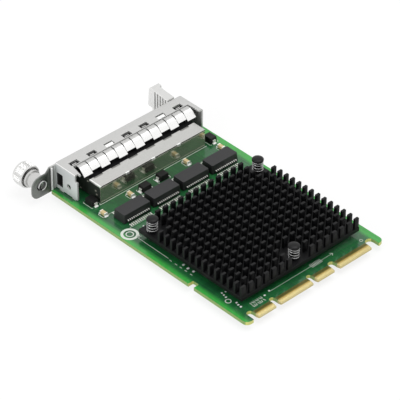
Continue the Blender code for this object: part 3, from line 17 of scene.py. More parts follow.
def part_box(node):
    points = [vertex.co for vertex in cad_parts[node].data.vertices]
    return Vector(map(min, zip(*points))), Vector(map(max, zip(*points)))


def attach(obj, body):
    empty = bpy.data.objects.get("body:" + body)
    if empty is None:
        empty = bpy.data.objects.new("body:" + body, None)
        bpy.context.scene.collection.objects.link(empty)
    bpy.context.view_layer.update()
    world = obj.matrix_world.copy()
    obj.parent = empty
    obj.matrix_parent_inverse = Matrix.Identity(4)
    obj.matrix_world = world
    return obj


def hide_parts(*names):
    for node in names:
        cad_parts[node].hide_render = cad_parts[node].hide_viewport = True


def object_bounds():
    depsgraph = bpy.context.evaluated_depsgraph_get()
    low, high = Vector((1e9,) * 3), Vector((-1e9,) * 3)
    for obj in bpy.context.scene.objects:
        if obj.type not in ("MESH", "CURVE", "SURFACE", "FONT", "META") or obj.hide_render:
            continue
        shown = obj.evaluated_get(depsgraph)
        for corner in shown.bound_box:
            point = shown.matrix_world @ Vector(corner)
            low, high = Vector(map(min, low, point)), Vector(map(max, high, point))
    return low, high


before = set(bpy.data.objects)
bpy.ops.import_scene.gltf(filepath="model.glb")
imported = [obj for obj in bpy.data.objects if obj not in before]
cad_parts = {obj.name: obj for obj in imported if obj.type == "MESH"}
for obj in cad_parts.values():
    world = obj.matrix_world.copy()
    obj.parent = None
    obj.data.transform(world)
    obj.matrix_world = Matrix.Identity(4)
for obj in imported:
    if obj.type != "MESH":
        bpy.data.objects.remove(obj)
CAD_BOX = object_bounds()

# %% [markdown]
# ## The card's own frame
#
# Someone who draws a circuit board measures from the board. Here x runs across it from its middle,
# y runs back from its front edge and z runs up from its underside, all in millimetres. The gold
# lands stand a hair proud of both faces, so that hair is taken off the board's box.

# %% Measure from the board
MM = 0.001
LAND_HEIGHT = 0.04 * MM
board_low, board_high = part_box("circuit_board")
ORIGIN = Vector(((board_low.x + board_high.x) / 2, board_low.y, board_low.z + LAND_HEIGHT))
BOARD_WIDTH = (board_high.x - board_low.x) / MM
BOARD_LENGTH = (board_high.y - board_low.y) / MM
BOARD_TOP = (board_high.z - LAND_HEIGHT - ORIGIN.z) / MM


def on_card(x, y, z=0.0):
    """A point given in millimetres from the board, in the scene's metres."""
    return ORIGIN + MM * Vector((x, y, z))


def card_box(node):
    """The lowest and highest corner of a node, in millimetres from the board."""
    low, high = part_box(node)
    return (low - ORIGIN) / MM, (high - ORIGIN) / MM


print(f"board {BOARD_WIDTH:.2f} x {BOARD_LENGTH:.2f} mm, top at {BOARD_TOP:.2f} mm")

# %% [markdown]
# ## The camera
#
# The photograph was taken with a long lens from above one rear corner. Its place was worked out
# from the corners of the board, whose real size is known, so it can be written in the board's
# frame. A long lens far away keeps parallel edges nearly parallel, which is the look of a
# catalogue picture.

# %% Camera
CAMERA_PLACE = (589.72, 671.51, 662.56)
CAMERA_AIM = (-3.53, 44.54, 0.0)
CAMERA_ROLL = math.radians(0.32)
CAMERA_LENS = 240.63
SENSOR = 36.0


def aim(obj, place, target, roll=0.0):
    """Puts an object at a place with its -Z axis towards the target."""
    turn = (target - place).to_track_quat("-Z", "Y").to_matrix().to_4x4()
    obj.matrix_world = Matrix.Translation(place) @ turn @ Matrix.Rotation(roll, 4, "Z")


camera_data = bpy.data.cameras.new("camera")
camera_data.lens = CAMERA_LENS
camera_data.sensor_width = SENSOR
camera_data.clip_end = 10.0
camera = bpy.data.objects.new("camera", camera_data)
bpy.context.collection.objects.link(camera)
aim(camera, on_card(*CAMERA_PLACE), on_card(*CAMERA_AIM), CAMERA_ROLL)
bpy.context.scene.camera = camera
bpy.context.scene.view_settings.view_transform = "Standard"
print("camera", [round(v, 3) for v in camera.location])

# %% [markdown]
# ## Small helpers for node trees
#
# Materials and Geometry Nodes are both trees of nodes. Four short helpers keep the cells that
# build them readable: one adds a node and sets or wires its inputs, one adds a named socket to a
# group, and two make a Math node and a colour Mix node.

# %% Node helpers
def add(tree, kind, inputs=None, **settings):
    """Adds a node of that kind. Inputs are set by name or number, settings by attribute."""
    made = tree.nodes.new(kind)
    for key, value in settings.items():
        setattr(made, key, value)
    for key, value in (inputs or {}).items():
        if isinstance(value, bpy.types.NodeSocket):
            tree.links.new(value, made.inputs[key])
        else:
            made.inputs[key].default_value = value
    return made


def socket(tree, name, kind, way="INPUT", value=None):
    """Adds a named socket to a group's outside."""
    made = tree.interface.new_socket(name=name, in_out=way, socket_type="NodeSocket" + kind)
    if value is not None:
        made.default_value = value


def maths(tree, operation, a, b=0.0, c=0.0):
    """One Math node; returns its output."""
    return add(tree, "ShaderNodeMath", {0: a, 1: b, 2: c}, operation=operation).outputs[0]


def blend_colours(tree, factor, a, b, mode="MIX"):
    """One Mix node between two colours; returns its output."""
    made = add(tree, "ShaderNodeMix", {0: factor, 6: a, 7: b}, data_type="RGBA", blend_type=mode)
    return made.outputs[2]


# %% [markdown]
# ## Shared surface effects
#
# Real finishes are never one flat colour. Moulding, plating and anodising all leave a fine
# mottle, and rolled sheet shows it drawn out along the rolling direction. Both are one effect
# with a stretch, so it is one group: it takes a colour and a roughness and gives them back
# slightly uneven, with a height for a bump.
#
# The second group answers one question, whether a point lies inside a box. Tinned ends, contact
# wires and plated lands belong to a solid of another colour, and a box picks them out.

# %% Group: uneven finish
def build_uneven_finish():
    tree = bpy.data.node_groups.new("uneven_finish", "ShaderNodeTree")
    socket(tree, "Colour", "Color", value=(0.5, 0.5, 0.5, 1.0))
    socket(tree, "Roughness", "Float", value=0.5)
    socket(tree, "Scale", "Float", value=1500.0)
    socket(tree, "Stretch", "Vector", value=(1.0, 1.0, 1.0))
    socket(tree, "Spread", "Float", value=0.1)
    socket(tree, "Colour", "Color", way="OUTPUT")
    socket(tree, "Roughness", "Float", way="OUTPUT")
    socket(tree, "Height", "Float", way="OUTPUT")
    inside = tree.nodes.new("NodeGroupInput")
    outside = tree.nodes.new("NodeGroupOutput")
    place = add(tree, "ShaderNodeTexCoord").outputs["Object"]
    drawn = add(
        tree,
        "ShaderNodeVectorMath",
        {0: place, 1: inside.outputs["Stretch"]},
        operation="MULTIPLY",
    )
    fine = add(
        tree,
        "ShaderNodeTexNoise",
        {"Vector": drawn.outputs[0], "Scale": inside.outputs["Scale"], "Detail": 3.0},
    )
    swing = maths(tree, "SUBTRACT", fine.outputs["Fac"], 0.5)
    swing = maths(tree, "MULTIPLY", swing, inside.outputs["Spread"])
    gain = maths(tree, "MULTIPLY_ADD", swing, 2.0, 1.0)
    tone = add(tree, "ShaderNodeCombineColor", {0: gain, 1: gain, 2: gain}).outputs[0]
    tinted = blend_colours(tree, 1.0, inside.outputs["Colour"], tone, "MULTIPLY")
    rough = maths(tree, "MULTIPLY_ADD", swing, 1.0, inside.outputs["Roughness"])
    tree.links.new(tinted, outside.inputs["Colour"])
    tree.links.new(rough, outside.inputs["Roughness"])
    tree.links.new(fine.outputs["Fac"], outside.inputs["Height"])
    return tree


UNEVEN_FINISH = build_uneven_finish()


# %% Group: inside a box
def build_inside_box():
    tree = bpy.data.node_groups.new("inside_box", "ShaderNodeTree")
    socket(tree, "Middle", "Vector")
    socket(tree, "Half", "Vector")
    socket(tree, "Softness", "Float", value=0.00002)
    socket(tree, "Inside", "Float", way="OUTPUT")
    inside = tree.nodes.new("NodeGroupInput")
    outside = tree.nodes.new("NodeGroupOutput")
    place = add(tree, "ShaderNodeTexCoord").outputs["Object"]
    away = add(
        tree, "ShaderNodeVectorMath", {0: place, 1: inside.outputs["Middle"]}, operation="SUBTRACT"
    )
    away = add(tree, "ShaderNodeVectorMath", {0: away.outputs[0]}, operation="ABSOLUTE")
    away = add(
        tree,
        "ShaderNodeVectorMath",
        {0: away.outputs[0], 1: inside.outputs["Half"]},
        operation="SUBTRACT",
    )
    parts = add(tree, "ShaderNodeSeparateXYZ", {0: away.outputs[0]})
    widest = maths(tree, "MAXIMUM", parts.outputs[0], parts.outputs[1])
    widest = maths(tree, "MAXIMUM", widest, parts.outputs[2])
    share = maths(tree, "DIVIDE", widest, inside.outputs["Softness"])
    mask = add(tree, "ShaderNodeClamp", {0: maths(tree, "SUBTRACT", 0.5, share)})
    tree.links.new(mask.outputs[0], outside.inputs["Inside"])
    return tree


INSIDE_BOX = build_inside_box()
print("groups:", [g.name for g in bpy.data.node_groups])


# %% [markdown]
# ## Materials
#
# Every finish starts the same way: a Principled shader with its constant values on its own
# sockets, and the uneven finish wired into its colour, roughness and bump. A piece may have a
# second finish in some zones: a transformer is moulded epoxy with tinned leads. Other zones hold
# painted light or shade, such as the painted highlight along the bend of a folded sheet. A zone
# is a box on the card with a finish of its own, and the mask of that box mixes the two.

# %% One function for every finish
def add_group(tree, group, inputs):
    """Places a node group in a tree and sets or wires its inputs."""
    return add(tree, "ShaderNodeGroup", inputs, node_tree=group)


def box_mask(tree, low, high, softness=0.02):
    """1 inside a box given in millimetres on the card, 0 outside, with a soft border."""
    middle = on_card(*[(a + b) / 2 for a, b in zip(low, high)])
    half = MM * Vector([(b - a) / 2 for a, b in zip(low, high)])
    inputs = {"Middle": middle, "Half": half, "Softness": softness * MM}
    return add_group(tree, INSIDE_BOX, inputs).outputs[0]


def finish(
    name,
    colour,
    roughness,
    metallic=0.0,
    scale=1500.0,
    stretch=(1, 1, 1),
    spread=0.15,
    bump=0.01,
    zones=(),
    **sockets,
):
    """A Principled material with a fine mottle; bump is the depth of the mottle in millimetres.

    Each zone gives two corners and a softness in millimetres, a colour, roughness and metallic.
    """
    made = bpy.data.materials.new(name)
    made.use_nodes = True
    tree = made.node_tree
    shader = tree.nodes["Principled BSDF"]
    for key, value in sockets.items():
        shader.inputs[key.replace("_", " ")].default_value = value
    tone, rough, metal = (*colour, 1.0), roughness, metallic
    for low, high, softness, zone_colour, zone_rough, zone_metal in zones:
        mask = box_mask(tree, low, high, softness)
        tone = blend_colours(tree, mask, tone, (*zone_colour, 1.0))
        rough = add(tree, "ShaderNodeMix", {0: mask, 2: rough, 3: zone_rough}).outputs[0]
        metal = add(tree, "ShaderNodeMix", {0: mask, 2: metal, 3: zone_metal}).outputs[0]
    inputs = {"Colour": tone, "Roughness": rough, "Scale": scale, "Stretch": stretch}
    mottle = add_group(tree, UNEVEN_FINISH, {**inputs, "Spread": spread})
    inputs = {"Height": mottle.outputs["Height"], "Distance": bump * MM}
    raised = add(tree, "ShaderNodeBump", inputs)
    if zones:
        tree.links.new(metal, shader.inputs["Metallic"])
    else:
        shader.inputs["Metallic"].default_value = metal
    tree.links.new(mottle.outputs["Colour"], shader.inputs["Base Color"])
    tree.links.new(mottle.outputs["Roughness"], shader.inputs["Roughness"])
    tree.links.new(raised.outputs[0], shader.inputs["Normal"])
    print(f"finish {name}: {len(zones)} zones")
    return made


# %% [markdown]
# ## Folded zinc-plated sheet
#
# The bracket is steel sheet under a thin satin coat of zinc. Its grey is one and the same, but
# each face meets other light, and here that light is painted into the colour in zones: a painted
# highlight along the bend at the top of the arm and on the ear's lip, painted shade on the ear,
# which lies in the shade of the knob, a paler painted tone on the outer face of the arm, and
# painted shade on the walls of a port window, in the corner between the arm and the ear and on
# the back of the faceplate. Lamps could be tuned for each of them. A zone for each is easier to
# place, and it holds from every side.

# %% Folded zinc-plated sheet
# BRIGHT is the colour of painted highlights; DARK and UNLIT are painted shade.
BRIGHT = (0.95, 0.95, 0.94)
DARK = (0.03, 0.03, 0.03)
UNLIT = (DARK, 0.6, 0.0)
ZINC_TONE = (0.55, 0.55, 0.54)
ARM_TONE = (0.55, 0.575, 0.57)
EAR_TONE = (0.19, 0.20, 0.19)
EAR_UPPER_TONE = (0.045, 0.05, 0.045)

# Painted light and shade on the one zinc: fold and ear_lip are painted highlights, arm_face is a
# paler painted tone, ear and ear_upper are painted shade, and arm_corner, window_wall and
# plate_back are painted shade.
fold = ((34.5, -0.3, 13.45), (35.6, 12.6, 14.3), 0.15, BRIGHT, 0.25, 1.0)
ear = ((37.6, -1.0, -2.0), (49.0, 1.3, 13.0), 0.8, EAR_TONE, 0.42, 0.8)
ear_upper = ((38.4, -3.0, 2.8), (42.0, 3.0, 11.0), 3.6, EAR_UPPER_TONE, 0.45, 0.8)
arm_face = ((34.7, -0.3, 0.0), (35.95, 13.0, 13.2), 0.1, ARM_TONE, 0.42, 0.15)
arm_corner = ((35.85, -0.3, 1.0), (37.25, 1.2, 12.9), 0.05, *UNLIT)
window_wall = ((33.9, 0.3, 3.4), (34.88, 4.1, 9.7), 0.03, *UNLIT)
ear_lip = ((37.3, 0.3, 1.0), (38.2, 1.4, 13.5), 0.1, BRIGHT, 0.3, 0.4)
plate_back = ((-35.0, -0.4, 1.0), (34.6, 0.4, 13.2), 0.1, *UNLIT)
ZINC = finish(
    "satin_zinc_plate",
    ZINC_TONE,
    roughness=0.40,
    metallic=0.55,
    scale=2500,
    stretch=(1, 6, 6),
    spread=0.10,
    bump=0.002,
    zones=(arm_face, fold, ear, ear_upper, ear_lip, plate_back, arm_corner, window_wall),
)

# %% [markdown]
# ## Bright spring strip and tinned shield
#
# Two more sheets are left shiny: the spring strip with its fingers, and the tinned cover over the
# rear of the jack block. Mirror-like metal shows what it faces, and here that is painted into the
# colour: a level part of the strip is painted greyer than its bent fingers, a clip pressed down
# into its slot gets painted shade with one thin painted glint, and the upright rear wall of the
# shield gets a painted reflection of the green of the board. The shield also carries painted
# highlights on its hooks and top edges, a painted dark band along the top of its rear wall, and
# painted shade with a painted glint at each tongue along its front. These again are zones, laid
# out in a loop where the sheet repeats itself.

# %% Spring strip
SLOT_COUNT = 7
SLOT_PITCH = 9.538
SLOT_MIDDLE = 0.65
SLOT_FRONT = 3.6
NARROW_CLIPS = (0, 2, 3, 5, 6)
CLIP_LOW = 10.0
CLIP_HIGH = 14.6
CLIP_SHADE = (DARK, 0.4, 1.0)
CLIP_GLINT = ((0.35, 0.35, 0.34), 0.4, 1.0)

# Painted reflection: the level part of the strip is greyer. Each narrow clip then gets painted
# shade and a thin painted glint.
strip_zones = [((-33.0, 4.0, 13.4), (33.0, 9.2, 14.7), 0.6, (0.54, 0.54, 0.53), 0.38, 0.8)]
for i in NARROW_CLIPS:
    middle = SLOT_MIDDLE + (i - (SLOT_COUNT - 1) / 2) * SLOT_PITCH
    low = (middle - 1.5, SLOT_FRONT + 0.2, CLIP_LOW)
    high = (middle + 1.5, SLOT_FRONT + 2.55, CLIP_HIGH)
    strip_zones.append((low, high, 0.15, *CLIP_SHADE))
    low = (middle - 1.0, SLOT_FRONT + 1.2, CLIP_LOW)
    high = (middle + 1.2, SLOT_FRONT + 1.5, CLIP_HIGH)
    strip_zones.append((low, high, 0.1, *CLIP_GLINT))
SPRING_STRIP = finish(
    "bright_finger_strip",
    (0.90, 0.90, 0.89),
    roughness=0.26,
    metallic=0.9,
    scale=3000,
    stretch=(4, 1, 1),
    spread=0.06,
    bump=0.001,
    zones=strip_zones,
)

# %% Tinned shield
SHIELD_REAR = 20.4
HOOK_PLACES = (-14.2, 0.0, 14.2)
HOOK_HIGHLIGHT = (BRIGHT, 0.3, 0.7)
TONGUE_COUNT = 6
NEAR_TONGUE = 24.45
TONGUE_SHADE = ((0.16, 0.16, 0.15), 0.3, 0.9)
TONGUE_GLINT = ((0.34, 0.34, 0.32), 0.3, 0.9)

behind = SHIELD_REAR - 0.2
# Painted light on the shield: a painted green reflection of the board on the rear wall, a painted
# dark band and a painted highlight along its top, painted highlights on the near top edge and the
# hooks, and painted shade with a painted glint at each tongue.
shield_zones = [
    ((-30.0, behind, 1.0), (30.0, 21.0, 9.9), 0.1, (0.44, 0.45, 0.37), 0.15, 0.9),
    ((-28.9, behind, 9.5), (28.9, 21.0, 9.92), 0.08, DARK, 0.3, 1.0),
    ((-28.9, behind, 9.2), (28.9, 21.0, 9.45), 0.08, (0.62, 0.60, 0.56), 0.3, 0.5),
    ((28.45, 13.0, 9.5), (29.8, 21.0, 10.4), 0.1, *HOOK_HIGHLIGHT),
]
for x in HOOK_PLACES:
    shield_zones.append(((x - 1.0, 20.0, 9.1), (x + 1.0, 21.0, 10.4), 0.15, *HOOK_HIGHLIGHT))
for i in range(TONGUE_COUNT):
    x = NEAR_TONGUE - i * SLOT_PITCH
    low, high = (x - 2.3, 13.0, 9.6), (x + 2.3, 14.55, 10.3)
    shield_zones.append((low, high, 0.25, *TONGUE_SHADE))
    low, high = (x - 1.9, 13.75, 9.6), (x + 1.9, 14.25, 10.3)
    shield_zones.append((low, high, 0.2, *TONGUE_GLINT))
TIN_SHEET = finish(
    "tinned_sheet",
    (0.56, 0.56, 0.54),
    roughness=0.24,
    metallic=0.8,
    scale=1200,
    stretch=(1, 5, 5),
    spread=0.08,
    bump=0.001,
    zones=shield_zones,
)

# %% [markdown]
# ## Turned and plated metal
#
# Nickel, spring wire, solder and hard gold are all metals with their own colour and shine. Turned
# parts carry fine rings, so their mottle is drawn out round the axis. Where the screw's tip and the
# ferrule's spigot sit in the ear's hole, zones give them painted shade and a painted glint. On the
# card edge the flats are dark gold, the bevel at the nose is paler, and the bend between them is
# an orange band.

# %% Turned and plated metal
TIN = (0.92, 0.92, 0.86)
# Painted shade over the part of the screw in the ear's hole, with a painted glint (tip_glint) and
# darker painted shade (tip_shade) on the tip.
screw_tip = ((36.0, -1.3, 0.0), (48.0, 1.0, 12.0), 0.1, (0.14, 0.145, 0.14), 0.4, 0.5)
tip_glint = ((39.0, -1.3, 6.4), (41.9, 1.0, 9.0), 0.3, (0.60, 0.60, 0.60), 0.3, 0.7)
tip_shade = ((42.7, -1.3, 3.0), (45.5, 1.0, 6.4), 0.3, (0.01, 0.01, 0.01), 0.5, 0.0)
# spigot_end is a slightly brighter nickel on the spigot's end; spigot_shade is painted shade on
# part of the spigot.
spigot_end = ((36.0, -0.3, 0.0), (48.0, 1.0, 12.0), 0.1, (0.62, 0.62, 0.62), 0.3, 0.9)
spigot_shade = ((43.0, -0.6, 3.0), (46.0, 1.0, 6.2), 0.4, (0.06, 0.06, 0.06), 0.3, 0.9)
turned_look = (0.28, 0.85, 2500, (1, 4, 1), 0.08, 0.001)
SCREW_NICKEL = finish(
    "screw_nickel", (0.70, 0.70, 0.69), *turned_look, zones=(screw_tip, tip_glint, tip_shade)
)
NICKEL = finish(
    "ferrule_nickel", (0.60, 0.60, 0.59), *turned_look, zones=(spigot_end, spigot_shade)
)
SPRING = finish("spring_wire", (0.36, 0.36, 0.36), 0.22, 1.0, 3000, (4, 1, 1), 0.06, 0.001)
SOLDER = finish("bright_solder", TIN, 0.35, 0.4, 4000, bump=0.003)
nose_gold = ((-40.0, 113.2, -3.0), (40.0, 116.0, 3.0), 0.2, (0.56, 0.47, 0.21), 0.38, 0.9)
orange_bend_gold = ((-40.0, 112.7, -3.0), (40.0, 113.4, 3.0), 0.3, (0.40, 0.27, 0.07), 0.36, 1.0)
gold_look = (0.36, 1.0, 3500, (4, 1, 1), 0.10, 0.001)
GOLD = finish("hard_gold", (0.13, 0.11, 0.028), *gold_look, zones=(nose_gold, orange_bend_gold))

# %% [markdown]
# ## Dark and moulded finishes
#
# Black parts differ in how they scatter light more than in colour: anodising is fine and satin,
# nylon a little shinier and epoxy rough. All have low colour values, because even a black surface
# returns light from its gloss. Through the bracket's window the side of the jack block shows
# latches and pins; there the side is a little lighter, and small soft painted glints stand for
# them.

# %% Dark and moulded finishes
ANODISE = finish(
    "black_anodising",
    (0.0025, 0.0025, 0.003),
    roughness=0.44,
    scale=4500,
    spread=0.3,
    bump=0.004,
    Specular_IOR_Level=0.2,
)
# Where the latches and pins of the jack block's near side catch the light: (y, z) of each glint.
SIDE_GLINTS = ((12.2, 8.3), (7.7, 2.6), (6.4, 1.8), (17.0, 6.0), (17.6, 4.4))
SIDE_TONE = (0.020, 0.024, 0.020)
# The near side of the block is a little lighter, and carries a painted glint at each place in
# SIDE_GLINTS.
side_zones = [((28.0, 1.0, 1.0), (29.2, 20.0, 12.0), 0.8, SIDE_TONE, 0.4, 0.0)]
for y, z in SIDE_GLINTS:
    low, high = (28.0, y - 0.4, z - 0.3), (30.5, y + 0.4, z + 0.3)
    side_zones.append((low, high, 0.3, (0.34, 0.33, 0.28), 0.4, 0.0))
BLACK_NYLON = finish(
    "black_nylon",
    (0.005, 0.005, 0.0055),
    roughness=0.36,
    scale=5000,
    spread=0.3,
    bump=0.004,
    zones=side_zones,
    Specular_IOR_Level=0.2,
)
PAD = finish("thermal_pad_grey", (0.38, 0.40, 0.42), 0.85, scale=3000, spread=0.25)
EPOXY = finish("moulded_epoxy", (0.011, 0.011, 0.012), 0.5, scale=7000, spread=0.35, bump=0.006)

# %% Pale and clear finishes
tab_low, tab_high = card_box("pull_tab")
# Painted light: the near side of the pull tab is a paler copy of its grey.
lit_tab_side = (
    (tab_high.x - 0.12, tab_low.y - 1, tab_low.z - 1),
    (tab_high.x + 1, tab_high.y + 1, tab_high.z + 1),
    0.03,
    (0.78, 0.78, 0.77),
    0.42,
    0.0,
)
TAB_GREY = finish(
    "pale_tab_plastic",
    (0.58, 0.58, 0.57),
    roughness=0.42,
    scale=4000,
    spread=0.06,
    bump=0.003,
    zones=(lit_tab_side,),
)
INK = finish("white_legend_ink", (0.62, 0.66, 0.60), 0.6, scale=6000, spread=0.12, bump=0.003)
pipe_look = {"roughness": 0.18, "scale": 2000, "spread": 0.1, "bump": 0.001}
GREEN_PIPE = finish("green_light_pipe", (0.20, 0.52, 0.26), **pipe_look)
AMBER_PIPE = finish("amber_light_pipe", (0.75, 0.42, 0.10), **pipe_look)

# %% Bodies with metal ends
# Each body finish: colour, roughness, metallic.
EPOXY_BODY = ((0.009, 0.009, 0.01), 0.5, 0.0)
DIODE_BODY = ((0.003, 0.003, 0.003), 0.5, 0.0)
CERAMIC_BODY = ((0.60, 0.47, 0.25), 0.45, 0.0)
NYLON_BODY = ((0.008, 0.008, 0.009), 0.4, 0.0)


def two_finishes(name, body, low, high, metal=TIN, zones=(), **sockets):
    """The body's finish inside the box from low to high, bright metal outside it."""
    zones = (*zones, (low, high, 0.02, *body))
    return finish(name, metal, 0.3, 0.6, 5000, spread=0.2, bump=0.003, zones=zones, **sockets)


print("finishes:", len(bpy.data.materials))


# %% [markdown]
# ## The board's solder mask
#
# A board is green because a thin glossy lacquer covers its copper. Over copper the lacquer looks
# deep and dark. Where the copper stops, a little short of the board's long edges, light passes
# into the pale laminate and the green turns bright. Tracks stand a little higher and show as faint
# lines that run straight and turn by 45 degrees: parallel lines whose position is shifted by a
# zigzag of the other direction give just that. The routed edge shows the laminate itself, and so
# does the strip between the gold contacts.

# %% Solder mask
MASK_OVER_COPPER = (0.010, 0.078, 0.026)
MASK_BARE = (0.034, 0.34, 0.045)
TRACK_GREEN = (0.012, 0.125, 0.034)
LAMINATE_SIDE = (0.20, 0.31, 0.08)
# LAMINATE_NOSE is painted light: a paler, yellower copy of the laminate for faces turned to the
# nose.
LAMINATE_NOSE = (0.56, 0.57, 0.16)
GOLDEN_LAMINATE = (0.50, 0.42, 0.17)
LAMINATE_AT_CONTACTS = (0.10, 0.12, 0.03)
NEAR_COPPER_EDGE = 36.0
FAR_COPPER_EDGE = -34.6
COPPER_EDGE_BLUR = 2.4
COPPER_EDGE_WANDER = 0.9
STREAK_STRETCH = (1600.0, 40.0, 1.0)
TRACK_PITCH = 0.62 * MM
TRACK_SHARE = 0.42
TRACK_RISE = 0.02 * MM
JOG_PERIOD = 9.0 * MM
PATCH_SIZE = 7.0 * MM
BARE_PATCHES = 0.45
LACQUER_ROUGHNESS = 0.22
# Boxes on the card: painted shade beside the bracket's arm, the two faces of the card edge, and its
# nose.
ARM_SHADE = ((34.0, -2.0, 0.5), (36.6, 11.6, 9.0))
CONTACT_WINDOW = ((-31.05, 111.1, -9.0), (31.35, 120.0, 9.0))
NOSE_STRIP = ((-33.0, 112.9, -9.0), (32.0, 120.0, 9.0))


def build_solder_mask():
    made = bpy.data.materials.new("green_solder_mask")
    made.use_nodes = True
    tree = made.node_tree
    shader = tree.nodes["Principled BSDF"]
    shader.inputs["Coat Weight"].default_value = 0.3
    shader.inputs["Coat Roughness"].default_value = 0.08
    place = add(tree, "ShaderNodeTexCoord").outputs["Object"]
    where = add(tree, "ShaderNodeSeparateXYZ", {0: place})
    jog = maths(tree, "PINGPONG", where.outputs["Y"], JOG_PERIOD)
    jog = maths(tree, "MINIMUM", jog, JOG_PERIOD / 3)
    lane = maths(tree, "ADD", where.outputs["X"], jog)
    ripple = maths(tree, "PINGPONG", lane, TRACK_PITCH / 2)
    on_track = maths(tree, "LESS_THAN", ripple, TRACK_PITCH / 2 * TRACK_SHARE)
    inputs = {"Vector": place, "Scale": 1 / PATCH_SIZE}
    cells = add(tree, "ShaderNodeTexVoronoi", inputs, distance="CHEBYCHEV")
    patch = add(tree, "ShaderNodeSeparateColor", {0: cells.outputs["Color"]}).outputs[0]
    routed = maths(tree, "GREATER_THAN", patch, BARE_PATCHES)
    track = maths(tree, "MULTIPLY", on_track, routed)
    lacquer = blend_colours(tree, track, (*MASK_OVER_COPPER, 1), (*TRACK_GREEN, 1))
    low = (FAR_COPPER_EDGE, -50.0, -9.0)
    high = (NEAR_COPPER_EDGE, 2 * BOARD_LENGTH, 9.0)
    copper = box_mask(tree, low, high, COPPER_EDGE_BLUR)
    streaks = add(
        tree, "ShaderNodeVectorMath", {0: place, 1: STREAK_STRETCH}, operation="MULTIPLY"
    )
    streak = add(tree, "ShaderNodeTexNoise", {"Vector": streaks.outputs[0], "Scale": 1.0})
    swing = (COPPER_EDGE_WANDER, -COPPER_EDGE_WANDER / 2)
    wander = maths(tree, "MULTIPLY_ADD", streak.outputs["Fac"], *swing)
    copper = add(tree, "ShaderNodeClamp", {0: maths(tree, "ADD", copper, wander)}).outputs[0]
    lacquer = blend_colours(tree, copper, (*MASK_BARE, 1), lacquer)
    # Painted shade: beside the bracket's arm the lacquer is darkened to the green over copper.
    shade = box_mask(tree, *ARM_SHADE, 0.9)
    lacquer = blend_colours(tree, shade, lacquer, (*MASK_OVER_COPPER, 1))
    window = box_mask(tree, *CONTACT_WINDOW)
    nose_strip = box_mask(tree, *NOSE_STRIP, 0.3)
    between = blend_colours(
        tree, nose_strip, (*LAMINATE_AT_CONTACTS, 1), (*GOLDEN_LAMINATE, 1)
    )
    lacquer = blend_colours(tree, window, lacquer, between)
    normal = add(tree, "ShaderNodeNewGeometry").outputs["Normal"]
    facing = add(tree, "ShaderNodeSeparateXYZ", {0: normal})
    flat = maths(tree, "ABSOLUTE", facing.outputs["Z"])
    sawn = maths(tree, "LESS_THAN", flat, 0.5)
    # Painted light: the laminate's faces at the nose are a paler, yellower copy of its long sides.
    nose = maths(tree, "GREATER_THAN", facing.outputs["Y"], 0.5)
    laminate = blend_colours(tree, nose, (*LAMINATE_SIDE, 1), (*LAMINATE_NOSE, 1))
    laminate = blend_colours(tree, nose_strip, laminate, (*GOLDEN_LAMINATE, 1))
    colour = blend_colours(tree, sawn, lacquer, laminate)
    inputs = {"Colour": colour, "Roughness": LACQUER_ROUGHNESS, "Scale": 900.0, "Spread": 0.12}
    mottle = add_group(tree, UNEVEN_FINISH, inputs)
    rough = maths(tree, "MULTIPLY_ADD", sawn, 0.4, mottle.outputs["Roughness"])
    inputs = {"Height": track, "Distance": TRACK_RISE, "Strength": 0.6}
    raised = add(tree, "ShaderNodeBump", inputs)
    tree.links.new(mottle.outputs["Colour"], shader.inputs["Base Color"])
    tree.links.new(rough, shader.inputs["Roughness"])
    tree.links.new(raised.outputs[0], shader.inputs["Normal"])
    return made


SOLDER_MASK = build_solder_mask()
print("solder mask:", len(SOLDER_MASK.node_tree.nodes), "nodes")


# %% [markdown]
# ## The stage
#
# The photograph stands on pure white. The floor is white, and where the camera or a mirror-like
# surface looks at it, most of what it shows is plain white light and a part is the lit floor, so
# the card still drops a faint shadow. The sky works the same way: it lights the card softly and
# looks white.

# %% Floor, sky and lamps
FLOOR_SIZE = 3.0
FLOOR_COLOUR = (0.92, 0.92, 0.92, 1)
FLOOR_WHITE_SHARE = 0.80
SKY_LIGHT = 0.78
LAMP_AIM = (0, 57, 5)


def seen_directly(tree):
    """1 where a camera, glossy or transmission ray arrives, else 0."""
    path = add(tree, "ShaderNodeLightPath")
    seen = maths(tree, "MAXIMUM", path.outputs["Is Camera Ray"], path.outputs["Is Glossy Ray"])
    return maths(tree, "MAXIMUM", seen, path.outputs["Is Transmission Ray"])


floor_shape = bmesh.new()
bmesh.ops.create_grid(floor_shape, x_segments=1, y_segments=1, size=FLOOR_SIZE / 2)
floor_mesh = bpy.data.meshes.new("floor")
floor_shape.to_mesh(floor_mesh)
floor_shape.free()
floor = bpy.data.objects.new("floor", floor_mesh)
floor.location.z = CAD_BOX[0].z
bpy.context.collection.objects.link(floor)
floor_white = bpy.data.materials.new("floor_white")
floor_white.use_nodes = True
floor_tree = floor_white.node_tree
lit = floor_tree.nodes["Principled BSDF"]
lit.inputs["Base Color"].default_value = FLOOR_COLOUR
lit.inputs["Roughness"].default_value = 0.9
lit.inputs["Specular IOR Level"].default_value = 0.0
glow = add(floor_tree, "ShaderNodeEmission", {"Strength": 1.0})
share = maths(floor_tree, "MULTIPLY", seen_directly(floor_tree), FLOOR_WHITE_SHARE)
mixed = add(floor_tree, "ShaderNodeMixShader", {0: share, 1: lit.outputs[0], 2: glow.outputs[0]})
floor_tree.links.new(mixed.outputs[0], floor_tree.nodes["Material Output"].inputs[0])
floor_mesh.materials.append(floor_white)

world = bpy.data.worlds.new("white_studio")
world.use_nodes = True
bpy.context.scene.world = world
sky_tree = world.node_tree
seen = seen_directly(sky_tree)
strength = maths(sky_tree, "MULTIPLY_ADD", seen, 1.0 - SKY_LIGHT, SKY_LIGHT)
sky_tree.links.new(strength, sky_tree.nodes["Background"].inputs["Strength"])
sky_tree.nodes["Background"].inputs["Color"].default_value = (1, 1, 1, 1)


